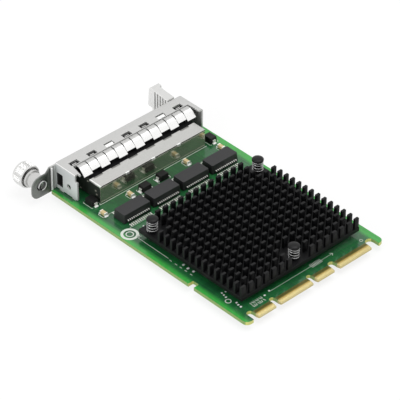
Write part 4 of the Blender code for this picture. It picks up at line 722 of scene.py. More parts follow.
def softbox(name, place, size, power):
    """A square area lamp over the card, in millimetres and watts."""
    data = bpy.data.lights.new(name, "AREA")
    data.shape = "SQUARE"
    data.size = size * MM
    data.energy = power
    lamp = bpy.data.objects.new(name, data)
    bpy.context.collection.objects.link(lamp)
    aim(lamp, on_card(*place), on_card(*LAMP_AIM))


softbox("overhead_softbox", (-120, 120, 620), 420, 1.5)
softbox("side_softbox", (620, 60, 380), 360, 1.35)
print("floor at", round(floor.location.z, 5))


# %% [markdown]
# ## Making pieces
#
# A finished piece sits at the origin with its place in its mesh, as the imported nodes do. These
# helpers turn a bmesh or a node modifier's result into such a piece, and hand it to the body that
# carries it.

# %% Piece helpers
SMOOTH_ANGLE = 35.0
EDGE_SEGMENTS = 2


def piece_of(name, shape, material, smooth=SMOOTH_ANGLE):
    """Makes an object of a bmesh, smooth except at edges sharper than the given angle."""
    mesh = bpy.data.meshes.new(name)
    bmesh.ops.recalc_face_normals(shape, faces=shape.faces)
    shape.to_mesh(mesh)
    shape.free()
    mesh.materials.append(material)
    obj = bpy.data.objects.new(name, mesh)
    bpy.context.collection.objects.link(obj)
    mesh.shade_smooth()
    mesh.set_sharp_from_angle(angle=math.radians(smooth))
    return obj


def settle(obj):
    """Applies an object's modifiers by taking its evaluated mesh."""
    graph = bpy.context.evaluated_depsgraph_get()
    mesh = bpy.data.meshes.new_from_object(obj.evaluated_get(graph))
    old = obj.data
    obj.modifiers.clear()
    obj.data = mesh
    mesh.name = obj.name
    bpy.data.meshes.remove(old)


def hand_over(obj, body, slot, *nodes):
    """Puts a finished piece on its body and hides the nodes it stands for."""
    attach(obj, body)
    if nodes:
        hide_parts(*nodes)
    print(f"{obj.name}: {len(obj.data.polygons)} faces on {body}")


def softened(node, name, material, width, sharp, smooth):
    """A copy of a node with its edges rounded: merged, its flats rejoined, then bevelled.

    The width is in millimetres, and edges bent by more than the sharp angle are rounded.
    """
    shape = bmesh.new()
    shape.from_mesh(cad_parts[node].data)
    bmesh.ops.remove_doubles(shape, verts=shape.verts, dist=0.001 * MM)
    bmesh.ops.dissolve_limit(
        shape, angle_limit=math.radians(1.0), verts=shape.verts, edges=shape.edges
    )
    mesh = bpy.data.meshes.new(name)
    shape.to_mesh(mesh)
    shape.free()
    mesh.materials.clear()
    mesh.materials.append(material)
    obj = bpy.data.objects.new(name, mesh)
    bpy.context.collection.objects.link(obj)
    mesh.shade_smooth()
    mesh.set_sharp_from_angle(angle=math.radians(smooth))
    round_off = obj.modifiers.new("edge", "BEVEL")
    round_off.width = width * MM
    round_off.segments = EDGE_SEGMENTS
    round_off.limit_method = "ANGLE"
    round_off.angle_limit = math.radians(sharp)
    round_off.harden_normals = True
    settle(obj)
    return obj


# %% [markdown]
# ## Geometry Nodes in a script
#
# What repeats on the card, such as fins, coils, contacts and knurling, is best described by its
# rule. A Geometry Nodes tree holds the rule, with a named input for each size. One helper starts
# a tree with its sockets, one ends it, and one runs it on an object: it sets the inputs by their
# identifiers and keeps the evaluated result as a plain mesh.

# %% Geometry Nodes helpers
def start_tree(name, **inputs):
    """A geometry tree with a Geometry socket each way and a named input for each value."""
    tree = bpy.data.node_groups.new(name, "GeometryNodeTree")
    socket(tree, "Geometry", "Geometry")
    for key, value in inputs.items():
        kind = "Int" if isinstance(value, int) else "Float"
        socket(tree, key.replace("_", " "), kind, value=value)
    socket(tree, "Material", "Material")
    socket(tree, "Geometry", "Geometry", way="OUTPUT")
    return tree, tree.nodes.new("NodeGroupInput").outputs


def end_tree(tree, geometry, given):
    """Makes instances real and gives the result its material, as the last steps of a tree."""
    real = add(tree, "GeometryNodeRealizeInstances", {0: geometry})
    inputs = {0: real.outputs[0], "Material": given["Material"]}
    dressed = add(tree, "GeometryNodeSetMaterial", inputs)
    outside = tree.nodes.new("NodeGroupOutput")
    tree.links.new(dressed.outputs[0], outside.inputs[0])
    print(f"tree {tree.name}: {len(tree.nodes)} nodes")
    return tree


def side_by_side(tree, *parts):
    """One Join Geometry node for several parts; returns its output."""
    made = tree.nodes.new("GeometryNodeJoinGeometry")
    for part in parts:
        tree.links.new(part, made.inputs[0])
    return made.outputs[0]


def grown(name, tree, material, base=None, smooth=SMOOTH_ANGLE, **values):
    """Runs a tree on a base mesh, or on none, and keeps the result as a plain mesh."""
    mesh = bpy.data.meshes.new(name)
    if base:
        base.to_mesh(mesh)
        base.free()
    obj = bpy.data.objects.new(name, mesh)
    bpy.context.collection.objects.link(obj)
    modifier = obj.modifiers.new("rule", "NODES")
    modifier.node_group = tree
    named = {key.replace("_", " "): value for key, value in values.items()}
    named["Material"] = material
    for item in tree.interface.items_tree:
        if item.in_out == "INPUT" and item.name in named:
            modifier[item.identifier] = named[item.name]
    settle(obj)
    shape = bmesh.new()
    shape.from_mesh(obj.data)
    bmesh.ops.recalc_face_normals(shape, faces=shape.faces)
    shape.to_mesh(obj.data)
    shape.free()
    obj.data.shade_smooth()
    obj.data.set_sharp_from_angle(angle=math.radians(smooth))
    return obj


def merged(name, *objects):
    """Joins the meshes of several objects of one material into the first and renames it."""
    shape = bmesh.new()
    for obj in objects:
        shape.from_mesh(obj.data)
    first, *others = objects
    shape.to_mesh(first.data)
    shape.free()
    for obj in others:
        bpy.data.objects.remove(obj)
    first.name = name
    first.data.name = name
    return first


def move_mesh(obj, place):
    """Moves an object's mesh, so that the object itself stays at the origin."""
    obj.data.transform(Matrix.Translation(place))


def add_block(shape, low, high):
    """Adds a box between two corners, in millimetres on the card, to a bmesh."""
    low, high = on_card(*low), on_card(*high)
    made = bmesh.ops.create_cube(shape, size=1.0)["verts"]
    bmesh.ops.scale(shape, vec=high - low, verts=made)
    bmesh.ops.translate(shape, vec=(low + high) / 2, verts=made)


# %% [markdown]
# ## The pin-fin heat sink
#
# The sink is one piece of black anodised aluminium: a base with rows of flat pins, left open where
# the three push pins pass. One rule makes it. A grid gives the middles of the pins, the points in
# the pockets are deleted, and each point left carries one pin. A pin is a rounded rectangle,
# pulled up and then drawn in a little at the top, which is the edge that catches the light. The
# base is a rectangle with round holes, pulled up the same way.

# %% Tree: pin-fin sink
PIN_TOP_SHARE = 0.86
BASE_TOP_SHARE = 0.997
HOLE_STEPS = 40


def pulled_bar(tree, outline, height, rim, draw_in):
    """Nodes that fill an outline and pull it up into a closed bar, drawn in over its rim."""
    flat = add(tree, "GeometryNodeFillCurve", {0: outline}, mode="NGONS").outputs[0]
    body_height = maths(tree, "SUBTRACT", height, rim)
    inputs = {0: flat, "Offset Scale": body_height, "Individual": False}
    body = add(tree, "GeometryNodeExtrudeMesh", inputs)
    inputs = {0: body.outputs[0], 1: body.outputs["Top"], "Offset Scale": rim, "Individual": False}
    head = add(tree, "GeometryNodeExtrudeMesh", inputs)
    inputs = {0: head.outputs[0], 1: head.outputs["Top"], "Scale": draw_in}
    drawn = add(tree, "GeometryNodeScaleElements", inputs).outputs[0]
    floor_face = add(tree, "GeometryNodeFlipFaces", {0: flat}).outputs[0]
    both = side_by_side(tree, drawn, floor_face)
    return add(tree, "GeometryNodeMergeByDistance", {0: both, "Distance": 1e-7}).outputs[0]


def rounded_rectangle(tree, width, depth, radius):
    """Nodes for the outline of a rectangle with filleted corners."""
    inputs = {"Width": width, "Height": depth}
    corners = add(tree, "GeometryNodeCurvePrimitiveQuadrilateral", inputs).outputs[0]
    inputs = {0: corners, "Count": 2, "Radius": radius}
    return add(tree, "GeometryNodeFilletCurve", inputs, mode="POLY").outputs[0]


def build_pin_sink():
    tree, given = start_tree(
        "pin_sink",
        Columns=2,
        Rows=2,
        Pitch_X=1.0,
        Pitch_Y=1.0,
        Pin_Width=0.5,
        Pin_Depth=0.5,
        Pin_Height=1.0,
        Pin_Corner=0.1,
        Pin_Rim=0.1,
        Base_Width=1.0,
        Base_Depth=1.0,
        Base_Height=0.1,
        Hole_Radius=0.1,
        Side_Pocket_X=1.0,
        Side_Pocket_Y=0.0,
        Nose_Pocket_X=0.0,
        Nose_Pocket_Y=1.0,
    )
    span = [
        maths(tree, "MULTIPLY", maths(tree, "SUBTRACT", given[count], 1.0), given[pitch])
        for count, pitch in (("Columns", "Pitch X"), ("Rows", "Pitch Y"))
    ]
    inputs = {
        "Size X": span[0],
        "Size Y": span[1],
        "Vertices X": given["Columns"],
        "Vertices Y": given["Rows"],
    }
    grid = add(tree, "GeometryNodeMeshGrid", inputs).outputs[0]
    place = tree.nodes.new("GeometryNodeInputPosition").outputs[0]
    place = add(tree, "ShaderNodeSeparateXYZ", {0: place})
    beside = maths(tree, "ABSOLUTE", place.outputs[0])
    outer = maths(tree, "GREATER_THAN", beside, given["Side Pocket X"])
    first = maths(tree, "LESS_THAN", place.outputs[1], given["Side Pocket Y"])
    middle = maths(tree, "LESS_THAN", beside, given["Nose Pocket X"])
    last = maths(tree, "GREATER_THAN", place.outputs[1], given["Nose Pocket Y"])
    side_pocket = maths(tree, "MULTIPLY", outer, first)
    nose_pocket = maths(tree, "MULTIPLY", middle, last)
    pocket = maths(tree, "MAXIMUM", side_pocket, nose_pocket)
    kept = add(tree, "GeometryNodeDeleteGeometry", {0: grid, 1: pocket}, domain="POINT").outputs[0]
    outline = rounded_rectangle(tree, given["Pin Width"], given["Pin Depth"], given["Pin Corner"])
    pin = pulled_bar(tree, outline, given["Pin Height"], given["Pin Rim"], PIN_TOP_SHARE)
    pins = add(tree, "GeometryNodeInstanceOnPoints", {"Points": kept, "Instance": pin}).outputs[0]
    border = rounded_rectangle(tree, given["Base Width"], given["Base Depth"], given["Pin Corner"])
    inputs = {"Resolution": HOLE_STEPS, "Radius": given["Hole Radius"]}
    circle = add(tree, "GeometryNodeCurvePrimitiveCircle", inputs).outputs[0]
    inputs = {"Points": given["Geometry"], "Instance": circle}
    holes = add(tree, "GeometryNodeInstanceOnPoints", inputs).outputs[0]
    holes = add(tree, "GeometryNodeRealizeInstances", {0: holes}).outputs[0]
    cut_out = side_by_side(tree, border, holes)
    base = pulled_bar(tree, cut_out, given["Base Height"], given["Pin Rim"], BASE_TOP_SHARE)
    below = maths(tree, "MULTIPLY", given["Base Height"], -1.0)
    drop = add(tree, "ShaderNodeCombineXYZ", {2: below})
    inputs = {0: base, "Translation": drop.outputs[0]}
    base = add(tree, "GeometryNodeTransform", inputs).outputs[0]
    return end_tree(tree, side_by_side(tree, pins, base), given)


# %% Heat sink
PIN_COLUMNS = 16
PIN_ROWS = 17
PIN_WIDTH = 2.3
PIN_DEPTH = 1.2
PIN_CORNER = 0.22
PIN_RIM = 0.12
SINK_EDGE = 0.2
SINK_BASE = 1.7
POCKET_ROWS = 3
POCKET_COLUMNS = 2
PUSH_PIN_HOLE = 1.6

sink_low, sink_high = card_box("heat_sink")
sink_middle = (sink_low + sink_high) / 2
sink_span = sink_high - sink_low
pitch_x = (sink_span.x - 2 * SINK_EDGE - PIN_WIDTH) / (PIN_COLUMNS - 1)
pitch_y = (sink_span.y - 2 * SINK_EDGE - PIN_DEPTH) / (PIN_ROWS - 1)
base_top = sink_low.z + SINK_BASE
push_pins = [sum(card_box(f"push_pin_{n}"), Vector()) / 2 for n in (1, 2, 3)]
hole_points = bmesh.new()
for pin in push_pins:
    hole_points.verts.new(MM * Vector((pin.x - sink_middle.x, pin.y - sink_middle.y, 0)))
sink = grown(
    "pin_fin_sink",
    build_pin_sink(),
    ANODISE,
    base=hole_points,
    Columns=PIN_COLUMNS,
    Rows=PIN_ROWS,
    Pitch_X=pitch_x * MM,
    Pitch_Y=pitch_y * MM,
    Pin_Width=PIN_WIDTH * MM,
    Pin_Depth=PIN_DEPTH * MM,
    Pin_Height=(sink_high.z - base_top) * MM,
    Pin_Corner=PIN_CORNER * MM,
    Pin_Rim=PIN_RIM * MM,
    Base_Width=sink_span.x * MM,
    Base_Depth=sink_span.y * MM,
    Base_Height=SINK_BASE * MM,
    Hole_Radius=PUSH_PIN_HOLE * MM,
    Side_Pocket_X=((PIN_COLUMNS - 1) / 2 - POCKET_COLUMNS + 0.5) * pitch_x * MM,
    Side_Pocket_Y=(POCKET_ROWS - 0.5 - (PIN_ROWS - 1) / 2) * pitch_y * MM,
    Nose_Pocket_X=pitch_x * MM,
    Nose_Pocket_Y=((PIN_ROWS - 1) / 2 - POCKET_ROWS + 0.5) * pitch_y * MM,
)
move_mesh(sink, on_card(sink_middle.x, sink_middle.y, base_top))
hand_over(sink, "card", "anodised_aluminium", "heat_sink")
print(f"pins every {pitch_x:.3f} x {pitch_y:.3f} mm")

# %% [markdown]
# ## Push pins and their springs
#
# Three nylon pins hold the sink down, each with a coil spring under its head. A coil is a path
# with a round section: a spiral curve gives the path, its height is eased at both ends as a
# spring's end coils are, and a circle swept along it gives the wire. The pins are turned shapes,
# so a profile is spun about an axis, and a slit is cut through the barbed end.

# %% Tree: coil spring
COIL_STEPS = 28
WIRE_STEPS = 12
EASED_SHARE = 0.6


def build_coil():
    tree, given = start_tree("coil", Radius=1.0, Height=1.0, Turns=4.0, Wire=0.1)
    inputs = {
        "Resolution": COIL_STEPS,
        "Rotations": given["Turns"],
        "Start Radius": given["Radius"],
        "End Radius": given["Radius"],
        "Height": given["Height"],
    }
    path = add(tree, "GeometryNodeCurveSpiral", inputs).outputs[0]
    along = tree.nodes.new("GeometryNodeSplineParameter").outputs["Factor"]
    inputs = {"Value": along, "To Max": given["Height"]}
    eased = add(tree, "ShaderNodeMapRange", inputs, interpolation_type="SMOOTHSTEP").outputs[0]
    eased = maths(tree, "MULTIPLY", eased, EASED_SHARE)
    plain = maths(tree, "MULTIPLY", along, given["Height"])
    plain = maths(tree, "MULTIPLY", plain, 1 - EASED_SHARE)
    place = tree.nodes.new("GeometryNodeInputPosition").outputs[0]
    parts = add(tree, "ShaderNodeSeparateXYZ", {0: place})
    height = maths(tree, "ADD", eased, plain)
    inputs = {0: parts.outputs[0], 1: parts.outputs[1], 2: height}
    raised = add(tree, "ShaderNodeCombineXYZ", inputs).outputs[0]
    path = add(tree, "GeometryNodeSetPosition", {0: path, "Position": raised}).outputs[0]
    inputs = {"Resolution": WIRE_STEPS, "Radius": given["Wire"]}
    wire = add(tree, "GeometryNodeCurvePrimitiveCircle", inputs).outputs[0]
    inputs = {0: path, "Profile Curve": wire, "Fill Caps": True}
    coil = add(tree, "GeometryNodeCurveToMesh", inputs).outputs[0]
    inputs = {"Points": given["Geometry"], "Instance": coil}
    return end_tree(tree, add(tree, "GeometryNodeInstanceOnPoints", inputs).outputs[0], given)


# %% Springs
SPRING_WIRE = 0.25
SPRING_TURNS = 4.25

spring_low, spring_high = card_box("push_pin_spring_1")
spring_feet = bmesh.new()
for pin in push_pins:
    spring_feet.verts.new(on_card(pin.x, pin.y, spring_low.z + SPRING_WIRE))
springs = grown(
    "push_pin_coils",
    build_coil(),
    SPRING,
    base=spring_feet,
    Radius=((spring_high.x - spring_low.x) / 2 - SPRING_WIRE) * MM,
    Height=(spring_high.z - spring_low.z - 2 * SPRING_WIRE) * MM,
    Turns=SPRING_TURNS,
    Wire=SPRING_WIRE * MM,
)
hand_over(springs, "card", "spring_steel", *[f"push_pin_spring_{n}" for n in (1, 2, 3)])


# %% Turned pieces
def turned(name, profile, place, material, steps, along_y=False):
    """Spins a profile of (radius, height) points, in millimetres, about an axis at a place."""
    shape = bmesh.new()
    verts = [shape.verts.new(MM * Vector((radius, 0, height))) for radius, height in profile]
    edges = [shape.edges.new(pair) for pair in zip(verts, verts[1:])]
    bmesh.ops.spin(
        shape,
        geom=verts + edges,
        cent=(0, 0, 0),
        axis=(0, 0, 1),
        angle=2 * math.pi,
        steps=steps,
        use_merge=True,
    )
    bmesh.ops.remove_doubles(shape, verts=shape.verts, dist=1e-7)
    turn = Matrix.Rotation(-math.pi / 2 if along_y else 0.0, 4, "X")
    bmesh.ops.transform(shape, matrix=Matrix.Translation(place) @ turn, verts=shape.verts)
    return piece_of(name, shape, material)


def dome(radius, top, fall, steps=5):
    """Profile points of a shallow dome, from its middle to its edge."""
    points = []
    for i in range(steps + 1):
        turn = i / steps * math.pi / 2
        points.append((radius * math.sin(turn), top - fall * (1 - math.cos(turn))))
    return points


# %% Push pins
PIN_SHANK = 1.3
PIN_HEAD_BRIM = 1.2
PIN_HEAD_FALL = 0.75
PIN_BARB = 1.8
PIN_SLIT = 0.6

for n, pin in enumerate(push_pins, start=1):
    low, high = card_box(f"push_pin_{n}")
    head = (high.x - low.x) / 2
    brim = high.z - PIN_HEAD_BRIM
    profile = dome(head, high.z, PIN_HEAD_FALL) + [
        (head, brim + 0.08),
        (head - 0.08, brim),
        (PIN_SHANK + 0.15, brim),
        (PIN_SHANK, brim - 0.15),
        (PIN_SHANK, -0.3),
        (PIN_BARB, -0.6),
        (PIN_BARB * 0.52, low.z + 0.1),
        (PIN_BARB * 0.45, low.z),
        (0.0, low.z),
    ]
    made = turned(f"nylon_push_pin_{n}", profile, on_card(pin.x, pin.y), BLACK_NYLON, 48)
    slit_shape = bmesh.new()
    add_block(
        slit_shape,
        (pin.x - 2 * head, pin.y - PIN_SLIT / 2, low.z - 1),
        (pin.x + 2 * head, pin.y + PIN_SLIT / 2, BOARD_TOP / 2),
    )
    slit = piece_of("push_pin_slit", slit_shape, BLACK_NYLON)
    cut = made.modifiers.new("slit", "BOOLEAN")
    cut.object = slit
    settle(made)
    bpy.data.objects.remove(slit)
    hand_over(made, "card", "black_plastic", f"push_pin_{n}")

# %% [markdown]
# ## The captive thumbscrew
#
# The screw is turned: a hollow knob, a hub, a groove for its ring and a threaded shank. What a
# lathe can't turn are the diamond knurling on the knob and the thread. Both are a relief that
# runs round a band: two crossing waves make diamonds, one wave that climbs makes a thread. A grid
# is rolled into a tube and each of its points is lifted by the lower of the two waves. The first
# and last rows of the grid are drawn to one inner circle, so the band is closed.

# %% Tree: relief band
def build_relief_band():
    tree, given = start_tree(
        "relief_band",
        Radius=1.0,
        Inner_Radius=0.8,
        Length=1.0,
        Depth=0.1,
        Fade=0.1,
        Around_A=10.0,
        Along_A=1.0,
        Around_B=10.0,
        Along_B=-1.0,
        Shift_B=0.0,
        Steps_Around=60,
        Steps_Along=10,
    )
    inputs = {
        "Size X": 1.0,
        "Size Y": 1.0,
        "Vertices X": maths(tree, "ADD", given["Steps Around"], 1.0),
        "Vertices Y": given["Steps Along"],
    }
    grid = add(tree, "GeometryNodeMeshGrid", inputs).outputs[0]
    place = tree.nodes.new("GeometryNodeInputPosition").outputs[0]
    flat = add(tree, "ShaderNodeSeparateXYZ", {0: place})
    around = maths(tree, "ADD", flat.outputs[0], 0.5)
    step = maths(tree, "DIVIDE", 1.0, maths(tree, "SUBTRACT", given["Steps Along"], 1.0))
    usable = maths(tree, "MULTIPLY_ADD", step, -2.0, 1.0)
    along = maths(tree, "ADD", maths(tree, "DIVIDE", flat.outputs[1], usable), 0.5)
    from_middle = maths(tree, "ABSOLUTE", flat.outputs[1])
    limit = maths(tree, "MULTIPLY_ADD", step, -0.5, 0.5)
    closing = maths(tree, "GREATER_THAN", from_middle, limit)
    waves = []
    for letter in "AB":
        phase = maths(tree, "MULTIPLY", around, given["Around " + letter])
        phase = maths(tree, "MULTIPLY_ADD", along, given["Along " + letter], phase)
        if letter == "B":
            phase = maths(tree, "ADD", phase, given["Shift B"])
        waves.append(maths(tree, "MULTIPLY", maths(tree, "PINGPONG", phase, 0.5), 2.0))
    relief = maths(tree, "MINIMUM", waves[0], waves[1])
    to_end = maths(tree, "MINIMUM", along, maths(tree, "SUBTRACT", 1.0, along))
    to_end = maths(tree, "DIVIDE", maths(tree, "MULTIPLY", to_end, given["Length"]), given["Fade"])
    fade = add(tree, "ShaderNodeClamp", {0: to_end}).outputs[0]
    lift = maths(tree, "MULTIPLY", maths(tree, "MULTIPLY", relief, fade), given["Depth"])
    outer = maths(tree, "ADD", maths(tree, "SUBTRACT", given["Radius"], given["Depth"]), lift)
    radius = add(tree, "ShaderNodeMix", {0: closing, 2: outer, 3: given["Inner Radius"]}).outputs[0]
    share = add(tree, "ShaderNodeMix", {0: closing, 2: along, 3: 0.5}).outputs[0]
    angle = maths(tree, "MULTIPLY", around, 2 * math.pi)
    inputs = {
        0: maths(tree, "MULTIPLY", radius, maths(tree, "COSINE", angle)),
        1: maths(tree, "MULTIPLY", share, given["Length"]),
        2: maths(tree, "MULTIPLY", radius, maths(tree, "SINE", angle)),
    }
    rolled = add(tree, "ShaderNodeCombineXYZ", inputs).outputs[0]
    tube = add(tree, "GeometryNodeSetPosition", {0: grid, "Position": rolled}).outputs[0]
    closed = add(tree, "GeometryNodeMergeByDistance", {0: tube, "Distance": 1e-6}).outputs[0]
    return end_tree(tree, closed, given)


RELIEF_BAND = build_relief_band()

# %% Thumbscrew
KNOB_REAR = -7.6
KNOB_FACE = 1.2
KNOB_WALL = 0.9
KNURL_DEPTH = 0.28
KNURL_ROOT = 0.03
KNURL_COUNT = 36.0
KNURL_CLIMB = 4.5
GRIP_FRONT = 1.0
GRIP_REAR = 0.45
SCREW_SHANK = 1.5
THREAD_DEPTH = 0.25
THREAD_PITCH = 0.5
SCREW_GROOVE = 1.0
SCREW_HUB = 1.9
GROOVE_FRONT = -6.4
GROOVE_REAR = -5.3
THREAD_FRONT = GROOVE_REAR + 0.4

screw_low, screw_high = card_box("thumbscrew")
screw_middle = (screw_low + screw_high) / 2
screw_axis = on_card(screw_middle.x, 0, screw_middle.z)
knob = (screw_high.x - screw_low.x) / 2
knob_front = screw_low.y
rim = knob - KNURL_DEPTH
cavity = knob - KNOB_WALL
tip = screw_high.y
core = SCREW_SHANK - THREAD_DEPTH - 0.02
screw_profile = [
    (0.0, tip),
    (core - 0.15, tip),
    (core, tip - 0.15),
    (core, THREAD_FRONT),
    (SCREW_SHANK, THREAD_FRONT),
    (SCREW_SHANK, GROOVE_REAR),
    (SCREW_GROOVE, GROOVE_REAR),
    (SCREW_GROOVE, GROOVE_FRONT),
    (SCREW_HUB, GROOVE_FRONT),
    (SCREW_HUB, knob_front + KNOB_FACE),
    (cavity - 0.2, knob_front + KNOB_FACE),
    (cavity, knob_front + KNOB_FACE + 0.2),
    (cavity, KNOB_REAR - 0.12),
    (cavity + 0.12, KNOB_REAR),
    (rim - 0.2, KNOB_REAR),
    (rim, KNOB_REAR - 0.2),
    (rim, knob_front + 0.8),
    (rim - 0.25, knob_front + 0.25),
    (rim - 0.8, knob_front),
    (0.0, knob_front),
]
screw_body = turned("thumbscrew_body", screw_profile, screw_axis, SCREW_NICKEL, 96, along_y=True)
grip_length = KNOB_REAR - GRIP_REAR - (knob_front + GRIP_FRONT)
grip = grown(
    "knob_knurling",
    RELIEF_BAND,
    SCREW_NICKEL,
    smooth=20.0,
    Radius=knob * MM,
    Inner_Radius=(rim - 0.3) * MM,
    Length=grip_length * MM,
    Depth=(KNURL_DEPTH + KNURL_ROOT) * MM,
    Fade=0.35 * MM,
    Around_A=KNURL_COUNT,
    Along_A=KNURL_CLIMB,
    Around_B=KNURL_COUNT,
    Along_B=-KNURL_CLIMB,
    Steps_Around=288,
    Steps_Along=39,
)
move_mesh(grip, screw_axis + Vector((0, (knob_front + GRIP_FRONT) * MM, 0)))
thread_length = tip - 0.1 - THREAD_FRONT
thread = grown(
    "screw_thread",
    RELIEF_BAND,
    SCREW_NICKEL,
    smooth=20.0,
    Radius=SCREW_SHANK * MM,
    Inner_Radius=(core - 0.2) * MM,
    Length=thread_length * MM,
    Depth=THREAD_DEPTH * MM,
    Fade=0.3 * MM,
    Around_A=1.0,
    Along_A=thread_length / THREAD_PITCH,
    Around_B=0.0,
    Along_B=0.0,
    Shift_B=0.5,
    Steps_Around=48,
    Steps_Along=round(8 * thread_length / THREAD_PITCH),
)
move_mesh(thread, screw_axis + Vector((0, THREAD_FRONT * MM, 0)))
screw = merged("knurled_thumbscrew", screw_body, grip, thread)
hand_over(screw, "screw", "nickel", "thumbscrew")

# %% [markdown]
# ## The ferrule
#
# The sleeve that keeps the screw captive is turned as well. A spigot sits in the ear's hole, a
# shoulder seats on the sheet, a thin wall leaves room for the ring to travel, and a lip at the
# front holds the ring back. Its section is one closed line of points, spun about the screw's axis.

# %% Ferrule
FERRULE_BODY = 3.3
FERRULE_RIM = 4.0
FERRULE_RIM_LENGTH = 0.9
FERRULE_LIP = 0.6
FERRULE_WALL = 0.5
SPIGOT = 2.3
SHOULDER = -1.4
SPIGOT_END = 0.4

front = card_box("thumbscrew_ferrule")[0].y
ferrule_profile = [
    (SCREW_SHANK + 0.45, SPIGOT_END),
    (SPIGOT - 0.2, SPIGOT_END),
    (SPIGOT, SPIGOT_END - 0.2),
    (SPIGOT, SHOULDER),
    (FERRULE_BODY - 0.1, SHOULDER),
    (FERRULE_BODY, SHOULDER - 0.1),
    (FERRULE_BODY, front + FERRULE_RIM_LENGTH),
    (FERRULE_RIM - 0.15, front + FERRULE_RIM_LENGTH),
    (FERRULE_RIM, front + FERRULE_RIM_LENGTH - 0.15),
    (FERRULE_RIM, front + 0.15),
    (FERRULE_RIM - 0.15, front),
    (SCREW_HUB + 0.3, front),
    (SCREW_HUB + 0.3, front + FERRULE_LIP),
    (FERRULE_BODY - FERRULE_WALL, front + FERRULE_LIP),
    (FERRULE_BODY - FERRULE_WALL, SHOULDER - 0.3),
    (SCREW_SHANK + 0.3, SHOULDER - 0.3),
    (SCREW_SHANK + 0.3, SPIGOT_END - 0.15),
    (SCREW_SHANK + 0.45, SPIGOT_END),
]
ferrule = turned("turned_ferrule", ferrule_profile, screw_axis, NICKEL, 72, along_y=True)
hand_over(ferrule, "card", "nickel", "thumbscrew_ferrule")

# %% [markdown]
# ## Sheet and moulded pieces with soft edges
#
# No real edge is perfectly sharp. Sheet steel leaves the press with a tiny round and a moulded
# part with a larger one, and that is where light collects. These pieces are copies of the packed
# nodes whose flats are rejoined and whose edges get a small Bevel; the copy stands in for the
# node.

# %% Softened copies
# (node, piece, finish, slot, edge width in millimetres, sharp angle, smooth angle)
SOFTENED = (
    ("faceplate_bracket", "folded_faceplate", ZINC, "plated_steel", 0.10, 60, 40),
    ("finger_strip", "bent_finger_strip", SPRING_STRIP, "spring_steel", 0.03, 70, 50),
    ("jack_shield", "folded_jack_shield", TIN_SHEET, "tinned_steel", 0.07, 50, 40),
    ("jack_housing", "moulded_jack_block", BLACK_NYLON, "black_plastic", 0.12, 50, 40),
    ("pull_tab", "moulded_pull_tab", TAB_GREY, "grey_plastic", 0.22, 50, 40),
)
for node, name, material, slot, width, sharp, smooth in SOFTENED:
    hand_over(softened(node, name, material, width, sharp, smooth), "card", slot, node)

# %% [markdown]
# ## Transformers, capacitors, diodes and jack inserts
#
# These small parts keep the shape they were packed with, apart from a soft mould edge on the
# transformers. Each gets its own two-finish material, because the box that separates body and
# metal lies at its own place: leads, end caps and contact wires stick out of the body's box.

# %% Small parts with two finishes
TRANSFORMER_HALF_LENGTH = 3.45
TRANSFORMER_EDGE = (0.07, 50, 40)
LEAD_SLOPE = (2.0, 3.05)
CAPACITOR_CAP = 0.5
DIODE_BODY_HALF = (2.27, 1.82)
INSERT_DEPTH = 2.3
CONTACT_WIRE = (0.80, 0.52, 0.18)

for n in (1, 2, 3, 4):
    low, high = card_box(f"line_transformer_{n}")
    middle = (low.y + high.y) / 2
    body_low = (low.x - 1, middle - TRANSFORMER_HALF_LENGTH, 0.0)
    body_high = (high.x + 1, middle + TRANSFORMER_HALF_LENGTH, high.z + 1)
    # Painted shade: the sloping part of each lead, between the shoulder and the foot, is dark.
    slope_low = (low.x - 1, low.y - 1, LEAD_SLOPE[0])
    slope_high = (high.x + 1, high.y + 1, LEAD_SLOPE[1])
    lead_slope_shade = (slope_low, slope_high, 0.1, DARK, 0.4, 1.0)
    body = two_finishes(f"epoxy_and_tin_{n}", EPOXY_BODY, body_low, body_high, zones=(lead_slope_shade,))
    node = f"line_transformer_{n}"
    made = softened(node, f"moulded_transformer_{n}", body, *TRANSFORMER_EDGE)
    hand_over(made, "card", "epoxy", node)

two_tone = {}
for n in (1, 2, 3, 4):
    low, high = card_box(f"ceramic_capacitor_{n}")
    body_low = (low.x - 1, low.y + CAPACITOR_CAP, low.z - 1)
    body_high = (high.x + 1, high.y - CAPACITOR_CAP, high.z + 1)
    two_tone[f"ceramic_capacitor_{n}"] = two_finishes(
        f"ceramic_and_tin_{n}", CERAMIC_BODY, body_low, body_high
    )
    low, high = card_box(f"surge_diode_{n}")
    middle = (low + high) / 2
    long_way, short_way = DIODE_BODY_HALF
    half = (long_way, short_way) if high.x - low.x > high.y - low.y else (short_way, long_way)
    body_low = (middle.x - half[0], middle.y - half[1], low.z - 1)
    body_high = (middle.x + half[0], middle.y + half[1], high.z + 1)
    two_tone[f"surge_diode_{n}"] = two_finishes(
        f"diode_and_tin_{n}", DIODE_BODY, body_low, body_high, Specular_IOR_Level=0.3
    )
    low, high = card_box(f"port_insert_{n}")
    body_low = (low.x - 1, high.y - INSERT_DEPTH, low.z - 1)
    body_high = (high.x + 1, high.y + 1, high.z + 1)
    two_tone[f"port_insert_{n}"] = two_finishes(
        f"insert_and_gold_{n}", NYLON_BODY, body_low, body_high, CONTACT_WIRE
    )

# %% [markdown]
# ## Gold contacts on the card edge
#
# The card edge carries flat gold contacts, 0.6 mm apart, on both faces, and they run down over
# the bevel of the nose. One contact is drawn as a profile that follows flat and bevel. A tree
# repeats it: a line of points with the row's pitch, and one copy on each point. The four groups
# between the notches are four runs of the same tree, for each face.

# %% Tree: a row of copies
def build_row():
    tree, given = start_tree("row_of_copies", Count=2, Pitch=1.0)
    step = add(tree, "ShaderNodeCombineXYZ", {0: given["Pitch"]}).outputs[0]
    line = add(tree, "GeometryNodeMeshLine", {"Count": given["Count"], 3: step}).outputs[0]
    inputs = {"Points": line, "Instance": given["Geometry"]}
    return end_tree(tree, add(tree, "GeometryNodeInstanceOnPoints", inputs).outputs[0], given)


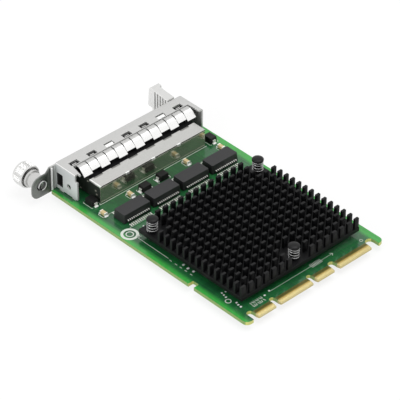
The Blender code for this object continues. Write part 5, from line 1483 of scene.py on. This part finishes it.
ROW = build_row()

# %% Contacts
CONTACT_PITCH = 0.6
CONTACT_WIDTH = 0.43
CONTACT_COUNTS = (14, 28, 14, 28)
EDGE_NOTCHES = (2.5, 2.4, 3.1)
EDGE_START = 31.35
EDGE_MARGIN = 0.5
# (y, height over the face) of a contact's profile, along the flat and down the bevel.
CONTACT_PROFILE = (
    (111.35, -0.05),
    (111.35, 0.07),
    (113.13, 0.07),
    (114.45, -0.275),
    (114.45, -0.36),
    (113.10, -0.05),
)


def contact(face, x):
    """One contact on the top (face 1) or underside (face -1), as a bmesh."""
    shape = bmesh.new()
    rim = []
    for y, height in CONTACT_PROFILE:
        z = BOARD_TOP + height if face > 0 else -height
        rim.append(shape.verts.new(on_card(x - CONTACT_WIDTH / 2, y, z)))
    side = shape.faces.new(rim)
    pulled = bmesh.ops.extrude_face_region(shape, geom=[side])["geom"]
    far = [v for v in pulled if isinstance(v, bmesh.types.BMVert)]
    bmesh.ops.translate(shape, vec=(CONTACT_WIDTH * MM, 0, 0), verts=far)
    return shape


rows = []
start = EDGE_START
for i, count in enumerate(CONTACT_COUNTS):
    first = start - EDGE_MARGIN - CONTACT_PITCH / 2
    for face in (1, -1):
        base = contact(face, first)
        rows.append(grown("contacts", ROW, GOLD, base, Count=count, Pitch=-CONTACT_PITCH * MM))
    start -= count * CONTACT_PITCH + 2 * EDGE_MARGIN
    if i < len(EDGE_NOTCHES):
        start -= EDGE_NOTCHES[i]
contacts = merged("gold_edge_contacts", *rows)
hand_over(contacts, "card", "tinned_steel")

# %% [markdown]
# ## Solder pads
#
# Every lead and end cap sits on a pad of solder that reaches a little past it. The pads under the
# transformers' feet are rows again. The rest are single low blocks: pads of parts that aren't
# fitted, beside the heat sink.

# %% Pads
PAD_HEIGHT = 0.09
LEAD_COUNT = 12
LEAD_PITCH = 1.0
PAD_WIDTH = 0.5
PAD_LENGTH = 1.5
PAD_SUNK = 0.02
FOOT_INSET = 0.45
# (width, length) of the pad under each end of a small part that lies along x or along y.
END_PAD_ALONG_X = (1.2, 2.0)
END_PAD_ALONG_Y = (1.7, 1.1)
# (x, y, width, length) of each pad that carries no part.
SINGLE_PADS = (
    (31.4, 72.2, 1.0, 0.9),
    (31.6, 75.0, 1.1, 0.9),
    (31.3, 77.9, 1.0, 0.9),
    (30.7, 95.5, 0.6, 0.6),
    (32.3, 95.1, 0.6, 0.7),
    (32.6, 96.5, 0.6, 0.6),
    (32.9, 98.0, 0.8, 0.6),
    (32.2, 103.2, 0.8, 0.7),
    (32.6, 104.6, 0.8, 0.7),
    (32.7, 106.1, 0.8, 0.7),
    (21.1, 107.4, 0.8, 0.7),
    (17.9, 106.6, 0.8, 0.8),
    (26.2, 43.2, 0.7, 0.7),
    (27.6, 43.6, 0.7, 0.7),
)


def pad(x, y, width, length):
    """One low pad of solder on the board's top, as a bmesh."""
    shape = bmesh.new()
    low = (x - width / 2, y - length / 2, BOARD_TOP - PAD_SUNK)
    add_block(shape, low, (x + width / 2, y + length / 2, BOARD_TOP + PAD_HEIGHT))
    return shape


rows = []
for n in (1, 2, 3, 4):
    low, high = card_box(f"line_transformer_{n}")
    first = (low.x + high.x) / 2 - (LEAD_COUNT - 1) / 2 * LEAD_PITCH
    for y in (low.y + FOOT_INSET, high.y - FOOT_INSET):
        base = pad(first, y, PAD_WIDTH, PAD_LENGTH)
        rows.append(grown("pads", ROW, SOLDER, base, Count=LEAD_COUNT, Pitch=LEAD_PITCH * MM))
for place in SINGLE_PADS:
    rows.append(piece_of("pads", pad(*place), SOLDER))
for n in (1, 2, 3, 4):
    for node in (f"ceramic_capacitor_{n}", f"surge_diode_{n}"):
        low, high = card_box(node)
        middle = (low + high) / 2
        if high.x - low.x > high.y - low.y:
            ends = [(x, middle.y, *END_PAD_ALONG_X) for x in (low.x, high.x)]
        else:
            ends = [(middle.x, y, *END_PAD_ALONG_Y) for y in (low.y, high.y)]
        rows += [piece_of("pads", pad(*place), SOLDER) for place in ends]
pads = merged("solder_pads", *rows)
hand_over(pads, "card", "tinned_steel")

# %% [markdown]
# ## Printed legend
#
# White ink marks where parts go. On a real board it is a screen-printed film some hundredths of a
# millimetre thick, so it is modelled as just that: thin closed strokes on the lacquer. Here it is
# plain lines, rings, corner marks round the small parts and rows of ticks by the card edge.

# %% Legend shapes
INK_HEIGHT = 0.03
INK_SUNK = -0.01


def add_prism(shape, outline):
    """Adds a closed film of ink over an outline of (x, y) points on the board's top."""
    low = [shape.verts.new(on_card(x, y, BOARD_TOP + INK_SUNK)) for x, y in outline]
    high = [shape.verts.new(on_card(x, y, BOARD_TOP + INK_HEIGHT)) for x, y in outline]
    shape.faces.new(list(reversed(low)))
    shape.faces.new(high)
    for i in range(len(outline)):
        j = (i + 1) % len(outline)
        shape.faces.new((low[i], low[j], high[j], high[i]))


def add_stroke(shape, start, end, width=0.2):
    """A straight stroke of ink between two points."""
    start, end = Vector(start), Vector(end)
    along = (end - start).normalized()
    side = Vector((-along.y, along.x)) * width / 2
    ends = along * width / 2
    start, end = start - ends, end + ends
    add_prism(shape, [start - side, end - side, end + side, start + side])


def add_ring(shape, x, y, outer, inner, steps=36):
    """A ring of ink, as a closed chain of short slabs."""
    angles = [2 * math.pi * i / steps for i in range(steps)]
    loops = []
    section = ((outer, INK_SUNK), (outer, INK_HEIGHT), (inner, INK_HEIGHT), (inner, INK_SUNK))
    for radius, height in section:
        z = BOARD_TOP + height
        places = [(x + radius * math.cos(a), y + radius * math.sin(a), z) for a in angles]
        loops.append([shape.verts.new(on_card(*place)) for place in places])
    for k in range(len(section)):
        this, after = loops[k], loops[(k + 1) % len(section)]
        for i in range(steps):
            j = (i + 1) % steps
            shape.faces.new((this[i], this[j], after[j], after[i]))


def add_corner_marks(shape, node, gap=0.75, arm=0.9):
    """Brackets of ink on both long sides of a small part."""
    low, high = card_box(node)
    for x, inward in ((low.x - gap, 1), (high.x + gap, -1)):
        add_stroke(shape, (x, low.y), (x, high.y))
        for y in (low.y, high.y):
            add_stroke(shape, (x, y), (x + inward * arm, y))


# %% Legend
# (start, end, width) of each stroke and (x, y, outer radius, inner radius) of each ring.
STROKES = (
    ((-29.4, 20.95), (29.8, 20.95), 0.22),
    ((32.95, 47.6), (32.95, 65.0), 0.2),
    ((17.4, 107.0), (-16.9, 107.0), 0.13),
    ((-16.9, 107.0), (-15.9, 106.2), 0.22),
    ((-16.9, 107.0), (-15.9, 107.8), 0.22),
    ((32.5, 47.3), (31.3, 46.3), 0.3),
    ((31.3, 47.3), (32.5, 46.3), 0.3),
)
RINGS = (
    (33.8, 43.3, 3.75, 2.6),
    (33.8, 43.3, 1.7, 1.3),
    (33.9, 100.3, 1.3, 0.98),
    (-31.0, 109.0, 0.75, 0.58),
)
SIDE_TICKS = (66.8, 70.0, 72.7, 75.6, 78.7)
SIDE_TICK_X = 33.3
FINE_TICK_COUNT = 8
FINE_TICK_PITCH = 0.75
WIDE_TICK_COUNT = 7
WIDE_TICK_PITCH = 0.95
TICK_WIDTH = 0.26

legend = bmesh.new()
for stroke in STROKES:
    add_stroke(legend, *stroke)
for ring in RINGS:
    add_ring(legend, *ring)
for y in SIDE_TICKS:
    add_stroke(legend, (SIDE_TICK_X, y - 0.5), (SIDE_TICK_X, y + 0.5), 0.24)
for i in range(FINE_TICK_COUNT):
    x = -4.9 - FINE_TICK_PITCH * i
    add_stroke(legend, (x, 105.9), (x, 107.9), TICK_WIDTH)
for i in range(WIDE_TICK_COUNT):
    x = 28.6 - WIDE_TICK_PITCH * i
    add_stroke(legend, (x, 106.9), (x - 0.3 * (i % 2), 108.0), TICK_WIDTH)
    add_stroke(legend, (x + 0.3, 108.7), (x + 0.3 * (i % 3), 109.7), TICK_WIDTH)
for n in (1, 2, 3, 4):
    add_corner_marks(legend, f"ceramic_capacitor_{n}")
    add_corner_marks(legend, f"surge_diode_{n}", gap=0.5, arm=0.5)
for n in (1, 2, 3, 4):
    low, high = card_box(f"line_transformer_{n}")
    for y in (low.y - 0.55, high.y + 0.65):
        add_stroke(legend, (low.x + 0.3, y), (high.x - 0.3, y), 0.16)
hand_over(piece_of("printed_legend", legend, INK), "card", "pad_grey")

# %% [markdown]
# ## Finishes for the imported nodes
#
# Nodes whose form is already right keep it and only get their finish: one of the two-finish
# materials made for them above, or the one that the table below gives their kind. The other nodes
# are hidden, because a finished piece stands in for them, and need none.

# %% Assign finishes
def give_finish(node, material):
    """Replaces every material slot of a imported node."""
    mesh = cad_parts[node].data
    mesh.materials.clear()
    mesh.materials.append(material)


KIND_FINISHES = {
    "circuit_board": SOLDER_MASK,
    "link_light": GREEN_PIPE,
    "activity_light": AMBER_PIPE,
    "controller_chip": EPOXY,
    "thermal_pad": PAD,
    "retaining_ring": SPRING,
}
finished = []
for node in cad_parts:
    material = two_tone.get(node) or KIND_FINISHES.get(node.rstrip("_0123456789"))
    if material:
        give_finish(node, material)
        finished.append(node)
print("nodes with a finish of their own:", len(finished))
